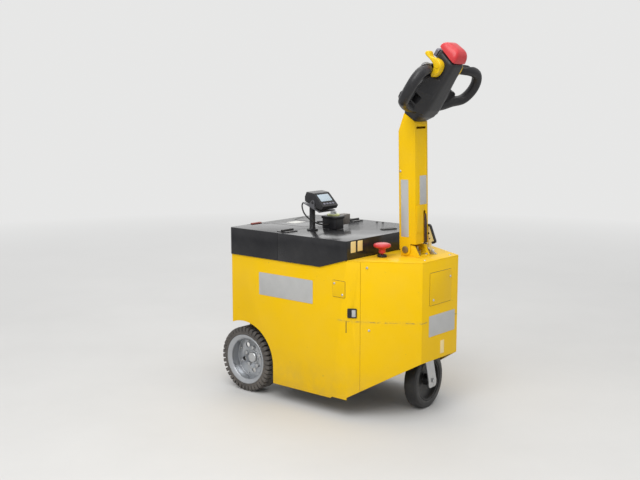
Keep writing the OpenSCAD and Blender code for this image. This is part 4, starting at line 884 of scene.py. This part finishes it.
screws = {"radius": 4.2, "height": 2.2, "socket": 1.9}
rivets = {"radius": 1.8, "height": 0.9, "socket": 0.5}
nuts = {"radius": 6.2, "height": 4.5, "stud": 2.8}
screw, rivet = screwHead("screw_part", **screws), screwHead("rivet_part", **rivets)
nut = nutPart("nut_part", **nuts)
noseOut, noseOutRight = Vector((0.858736, 0.512419, 0)), Vector((-0.858736, 0.512419, 0))
bodySpots = [
    (place(202.6, 58.5, 525.7), noseOut), (place(198.3, 65.6, 312.3), noseOut),
    (place(-202.6, 58.5, 525.7), noseOutRight), (place(-198.3, 65.6, 312.3), noseOutRight),
    (place(-57, 219, 481), toRear), (place(44, 219, 413), toRear),
    (place(239.5, -52, 466), toLeft), (place(239.5, -17, 430), toLeft),
    (place(-83, 197, 548), toTop), (place(64, 194.5, 548), toTop),
]
plateSpots = [(place(x, 217.8, z), toRear) for x in (61.5, -86.5) for z in (292, 356)]
columnSpots = [(columnSpot(side * 37, -18, 268), columnTurn @ (side * toLeft))
               for side in (1, -1)]
scatter("body_screws", "base", screw, bodySpots, "zinc_plate")
scatter("plate_rivets", "base", rivet, plateSpots, "zinc_plate")
scatter("column_screws", "tiller", screw, columnSpots, "zinc_plate")
print("screws and rivets set")

# Lid details


def level(x, y, z=lidTop):
    return Matrix.Translation(place(x, y, z))


def onLid(x, y, turn):
    return facing(place(x, y, lidTop), toTop, (turn, 1, 0))


def bead(name, points, width, low, high):
    # Flat bead along a line of points (x, y), from low to high
    line = [Vector(p) for p in points]
    verts = []
    for i, p in enumerate(line):
        along = (line[min(i + 1, len(line) - 1)] - line[max(i - 1, 0)]).normalized()
        side = Vector((-along.y, along.x)) * width / 2
        a, b = p + side, p - side
        verts += [place(*a, low), place(*a, high), place(*b, high), place(*b, low)]
    return bevelled(solid(name, verts, cappedFaces(len(line), 4)), 0.15, 1)


lidSeam = {
    "width": 3.0, "from": lidTop - 0.2, "to": lidTop + 0.5,
    "line": [(158, -541), (64, -502), (64, -345), (16, -330), (-16, -330), (-64, -345),
             (-64, -502), (-158, -541)],
}
seam = bead("lid_seam", lidSeam["line"], lidSeam["width"], lidSeam["from"], lidSeam["to"])
fix(seam, "lid", "deep_black")
lidBits = {
    "lid_catch": dict(size=(62, 24, 2), round=5, edge=0.6, spot=(-95, -73, 0.3), body="base",
                      finish="deep_black", slot="head_plastic"),
    "lid_patch": dict(size=(62, 46, 0.4), round=1.5, edge=0.1, spot=(-15, -452, 0), body="lid",
                      finish="pale_label", slot="lid_plastic"),
    "lid_tag": dict(size=(49, 12, 5), round=2, edge=1, spot=(116, -535, 0), body="lid",
                    finish="rust_red", slot="red_plastic"),
    "lid_plug_0": dict(size=(22, 14, 5), round=3, edge=1.5, spot=(-75, -382, 0.4), body="lid",
                       finish="head_plastic", slot="head_plastic"),
    "lid_plug_1": dict(size=(22, 14, 5), round=3, edge=1.5, spot=(-107, -344, 0.4), body="lid",
                       finish="head_plastic", slot="head_plastic"),
}
for name, b in lidBits.items():
    bit = block(name, *b["size"], b["round"], onLid(*b["spot"]), b["edge"])
    fix(bit, b["body"], b["finish"])
lidSpots = [(place(x, y, lidTop), toTop) for x, y in ((-215, -217), (-218, -191))]
scatter("lid_screws", "base", screw, lidSpots, "black_fittings")
print("lid details done")

# Display, key pod, post and cable
displayPivot = place(103, -228.09, 717.49)
displayTurn = Matrix.Rotation(radians(-45), 4, "X")
displayFace = 23.55
# Size with corner, spot on the face, height over it and soft edge
display = {
    "display_frame": dict(size=(72, 47.5, 0.8, 3), spot=(0, 9.9), over=0, edge=0.3,
                          finish="deep_black"),
    "display_window": dict(size=(60, 33, 0.6, 2), spot=(0, 1), over=0.75, edge=0.2,
                           finish="screen_glass"),
}
for i in range(4):
    display["display_key_%d" % i] = dict(size=(11, 7, 1.8, 2), spot=(-24 + 16 * i, 29),
                                         over=0.5, edge=0.6, finish="grey_plastic")
for name, p in display.items():
    offset = Vector((*p["spot"], displayFace + p["over"])) / 1000
    way = Matrix.Translation(displayPivot) @ displayTurn @ Matrix.Translation(offset)
    piece = block(name, *p["size"], way, p["edge"])
    fix(piece, "display_unit", p["finish"])

pod = {
    "spot": (22, -238), "low": 0.3, "high": 46.8, "size": (52, 66), "round": 9,
    "cap": (60, 74), "capRound": 12, "capFrom": 37,
    "plug": (-37, -236), "plugSize": (42, 30), "plugFrom": 10, "plugHigh": 37,
    "ribs": 4, "ribFrom": -14, "ribStep": 9,
    "ringSpot": (22, -236, 659.8),
    "ring": [(16.6, 0.5), (23.4, 0.5), (23.4, 5), (22.2, 6), (17.8, 6), (16.6, 5), (16.6, 0.5)],
}


def keyPod(s):
    low, capLow = lidTop + s["low"], lidTop + s["capFrom"]
    parts = [block("pod_body", *s["size"], s["high"] - s["low"] - 1, s["round"],
                   level(*s["spot"], low), 2),
             block("pod_cap", *s["cap"], s["high"] - s["capFrom"], s["capRound"],
                   level(*s["spot"], capLow), 2.5)]
    body = fix(joined("pod_body", parts), "base", "head_plastic")
    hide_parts("key_pod")
    x, y = s["plug"]
    l, foot = s["plugSize"][1], lidTop + s["plugFrom"]
    plug = [block("pod_plug", *s["plugSize"], s["plugHigh"], 3, level(x, y, foot), 1.5)]
    for i in range(s["ribs"]):
        way = level(x + s["ribFrom"] + s["ribStep"] * i, y, foot + 3)
        plug.append(block("rib", 3, l + 2, s["plugHigh"] - 6, 1, way, 0.6))
    fix(joined("pod_plug", plug), "base", "plug_grey")
    ring = lathe("pod_ring", s["ring"], level(*s["ringSpot"]), 64)
    fix(ring, "base", "ring_green")


keyPod(pod)

post = {"spot": (103, -267), "radius": 10.5, "foot": 20, "footHigh": 5, "neck": 13, "top": 98}


def displayPost(s):
    r, foot, high, top = s["radius"], s["foot"], s["footHigh"], s["top"]
    profile = [(0.01, 0.2), (foot, 0.2), (foot, high - 2), (foot - 2, high),
               (s["neck"], high + 0.5), (r, high + 4), (r, top - 2), (r - 2, top), (0.01, top)]
    piece = lathe("post", profile, level(*s["spot"]), 40)
    fix(piece, "base", "black_fittings")
    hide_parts("display_post")


displayPost(post)

# Short cable from the back of the display down to the pod
cable = {
    "radius": 2.6,
    "run": [(150.8, -270, 714), (153, -272, 706), (153.5, -269, 692), (151, -261, 675),
            (139, -249, 657), (116, -239, 642), (89, -234, 634), (64, -235, 631),
            (46, -236, 631)],
}
cableLine = smoothRun([place(*q) for q in cable["run"]])
cableTube = fix(hose("display_cable", cableLine, cable["radius"]), "base", "soft_rubber")
tuple(cableLine[0])
sum((b - a).length for a, b in zip(cableLine, cableLine[1:]))
[tuple(q) for q in cableLine]
print("display and pod done")

# Emergency stop, lever, a sleeve of painted shade, painted shadow round the hatches, and latch
stopButton = {
    "spot": (100, 44, 548),
    "profile": [(0.01, 9.4), (5.6, 9.4), (5.6, 14.2), (11, 14.2), (11.8, 15), (11.8, 25),
                (13, 28.5), (17, 31), (24, 33), (28.4, 35.2), (30, 38), (29.8, 42),
                (27.6, 45.4), (22, 47.6), (12, 48.8), (0.01, 49.2)],
}
stop = lathe("stop_button", stopButton["profile"], level(*stopButton["spot"]), 64)
fix(stop, "estop_button", "red_plastic")
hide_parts("estop_button")

lever = {
    "pivot": (137, 567), "turn": radians(22), "middle": -47, "face": -46, "rim": 4.4,
    "run": [(20, 17), (29, 16.5), (33.5, 19), (34, 26), (34, 50), (34, 68), (32.5, 76),
            (27, 79), (18, 79)],
    # holes, (across, along, radius)
    "holes": [(18, 52, 3.4), (15, 34, 2.6)],
}


def leverPoint(s, a, b, x):
    (y, z), c, d = s["pivot"], cos(s["turn"]), sin(s["turn"])
    return place(x, y + a * c - b * d, z + a * d + b * c)


def leverTrim(s):
    run = smoothRun([leverPoint(s, a, b, s["middle"]) for a, b in s["run"]], 5)
    fix(hose("lever_rim", run, s["rim"]), "lever", "head_plastic")
    for i, (a, b, r) in enumerate(s["holes"]):
        profile = [(0.01, -0.1), (r, -0.1), (r, 0.3), (0.01, 0.3)]
        way = facing(leverPoint(s, a, b, s["face"]), toLeft)
        hole = lathe("lever_hole_%d" % i, profile, way, 24)
        fix(hole, "lever", "deep_black")


leverTrim(lever)
deckSpots = [(place(x, y, 551), toTop)
             for x, y in ((-62, 127), (-62, 147), (-26, 140), (26, 140))]
scatter("lever_nuts", "base", nut, [(place(-46, 137, 567), toLeft)], "zinc_plate")
scatter("deck_nuts", "base", nut, deckSpots, "zinc_plate")

# Painted shade: a sleeve round the stop rod whose olive-brown paints the far ear's inner face in
# shadow
sleeve = {"spot": (15, 130, 552), "bore": 7.6, "radius": 12.2, "waist": 11, "low": 4.5,
          "top": 18}


def shadeSleeve(s):
    r, waist, low, top = s["radius"], s["waist"], s["low"], s["top"]
    profile = [(s["bore"], low), (r, low), (r, low + 2), (waist, low + 4), (waist, top - 6),
               (r, top - 4), (r, top - 0.6), (r - 0.8, top), (s["bore"], top),
               (s["bore"], low)]
    fix(lathe("stop_sleeve", profile, level(*s["spot"]), 40), "base", "bronze")


shadeSleeve(sleeve)

# Painted shade: a thin dark brown sheet on the column's rear face paints the shade inside its
# slot
slotShadeEdge = [(15, -50), (32.5, -50), (31, 20), (27, 48), (20, 50), (16, 30)]
slotShade = slab("column_liner", slotShadeEdge, 0.4, onColumn(0, 42.5, 72, toRear), 0.1)
fix(slotShade, "tiller", "slot_brown")

# Painted shadow: dark slabs a little larger than the hatches, set behind them, paint the shade
# in the seams round the hatches; and a dark slot in the flange
gapShadows = {
    "side_hatch_gap": dict(size=(55, 58, 0.4, 4), spot=(237.5, -33, 448), out=toLeft),
    "rear_hatch_gap": dict(size=(131, 113, 0.4, 4), spot=(0, 217, 451), out=toRear),
}
for name, g in gapShadows.items():
    gapShadow = block(name, *g["size"], facing(place(*g["spot"]), g["out"]), 0.1)
    fix(gapShadow, "base", "gap_dark")
latchWay = facing(place(227.8, 16.3, 370), noseOut) @ Matrix.Translation((0.006, 0, 0.0042))
fix(block("latch_tongue", 13, 24, 1.6, 2, latchWay, 0.6), "panel_latch", "silver_plate")
slotWay = facing(place(237.5, -1.5, 322), toLeft)
fix(block("flange_slot", 3, 42, 0.3, 1.2, slotWay, 0.1), "base", "deep_black")
for part in (screw, rivet, nut):
    bpy.data.objects.remove(part)
print("stop button, lever and hatches done")

# Stage
stage = {
    "floor": (0.62, 0.61, 0.59), "blotch": 0.93, "rough": 0.75, "specular": 0.2, "size": 60,
    "wall": (0.80, 0.80, 0.795), "fade": (1.5, 5.5), "skyColour": (0.95, 0.97, 1.0, 1),
    "sky": 0.72,
}
lamps = {
    "key": dict(spot=(2.6, 1.2, 3.4), aim=(0, 0, 0.5), size=2.6, power=95),
    "fill": dict(spot=(-2.0, -2.4, 2.8), aim=(0, 0, 0.5), size=3.0, power=30),
    "top": dict(spot=(0.3, 0.6, 4.2), aim=(0, 0, 0), size=3.0, power=42),
}


def addFloor(s):
    # Pale floor that takes the colour of the backdrop far off
    bm = bmesh.new()
    bmesh.ops.create_grid(bm, x_segments=1, y_segments=1, size=s["size"])
    floor = freshObject("floor", meshOf(bm, "floor"))
    n = Nodes("pale_floor")
    blotches = n.ramp(n.noise(0.9, 6, 0.65), 0.3, 0.7)
    colour = n.mix(blotches, s["floor"], tuple(c * s["blotch"] for c in s["floor"]))
    n.link(colour, n.bsdf.inputs["Base Color"])
    n.bsdf.inputs["Roughness"].default_value = s["rough"]
    n.bsdf.inputs["Specular IOR Level"].default_value = s["specular"]
    far = n.add("ShaderNodeVectorMath", operation="LENGTH")
    n.link(n.coord, far.inputs[0])
    glow = n.add("ShaderNodeEmission")
    glow.inputs["Color"].default_value = (*s["wall"], 1)
    seenBy = n.add("ShaderNodeLightPath").outputs["Is Camera Ray"]
    both = n.add("ShaderNodeMixShader")
    n.link(n.times(n.ramp(far.outputs["Value"], *s["fade"]), seenBy), both.inputs[0])
    n.link(n.bsdf.outputs[0], both.inputs[1])
    n.link(glow.outputs[0], both.inputs[2])
    n.link(both.outputs[0], n.tree.nodes["Material Output"].inputs["Surface"])
    paint(floor, n.mat)


def addSky(s):
    # Soft sky light, seen as the plain backdrop by the camera and in reflections
    world = bpy.data.worlds.new("studio")
    scene.world = world
    world.use_nodes = True
    t = world.node_tree
    t.nodes.clear()
    add, link = t.nodes.new, t.links.new
    out, path = add("ShaderNodeOutputWorld"), add("ShaderNodeLightPath")
    sky, seen = add("ShaderNodeBackground"), add("ShaderNodeBackground")
    sky.inputs["Color"].default_value = s["skyColour"]
    sky.inputs["Strength"].default_value = s["sky"]
    seen.inputs["Color"].default_value = (*s["wall"], 1)
    seen.inputs["Strength"].default_value = 1
    either, mixer = add("ShaderNodeMath"), add("ShaderNodeMixShader")
    either.operation = "MAXIMUM"
    link(path.outputs["Is Camera Ray"], either.inputs[0])
    link(path.outputs["Is Glossy Ray"], either.inputs[1])
    link(either.outputs[0], mixer.inputs[0])
    link(sky.outputs[0], mixer.inputs[1])
    link(seen.outputs[0], mixer.inputs[2])
    link(mixer.outputs[0], out.inputs["Surface"])


def addLamp(name, s):
    data = bpy.data.lights.new(name, "AREA")
    data.size = s["size"]
    data.energy = s["power"]
    lamp = bpy.data.objects.new(name, data)
    lamp.location = s["spot"]
    aim = Vector(s["aim"]) - Vector(s["spot"])
    lamp.rotation_euler = aim.to_track_quat("-Z", "Y").to_euler()
    scene.collection.objects.link(lamp)


addFloor(stage)
addSky(stage)
for name, s in lamps.items():
    addLamp(name, s)
scene.view_settings.view_transform = "Standard"
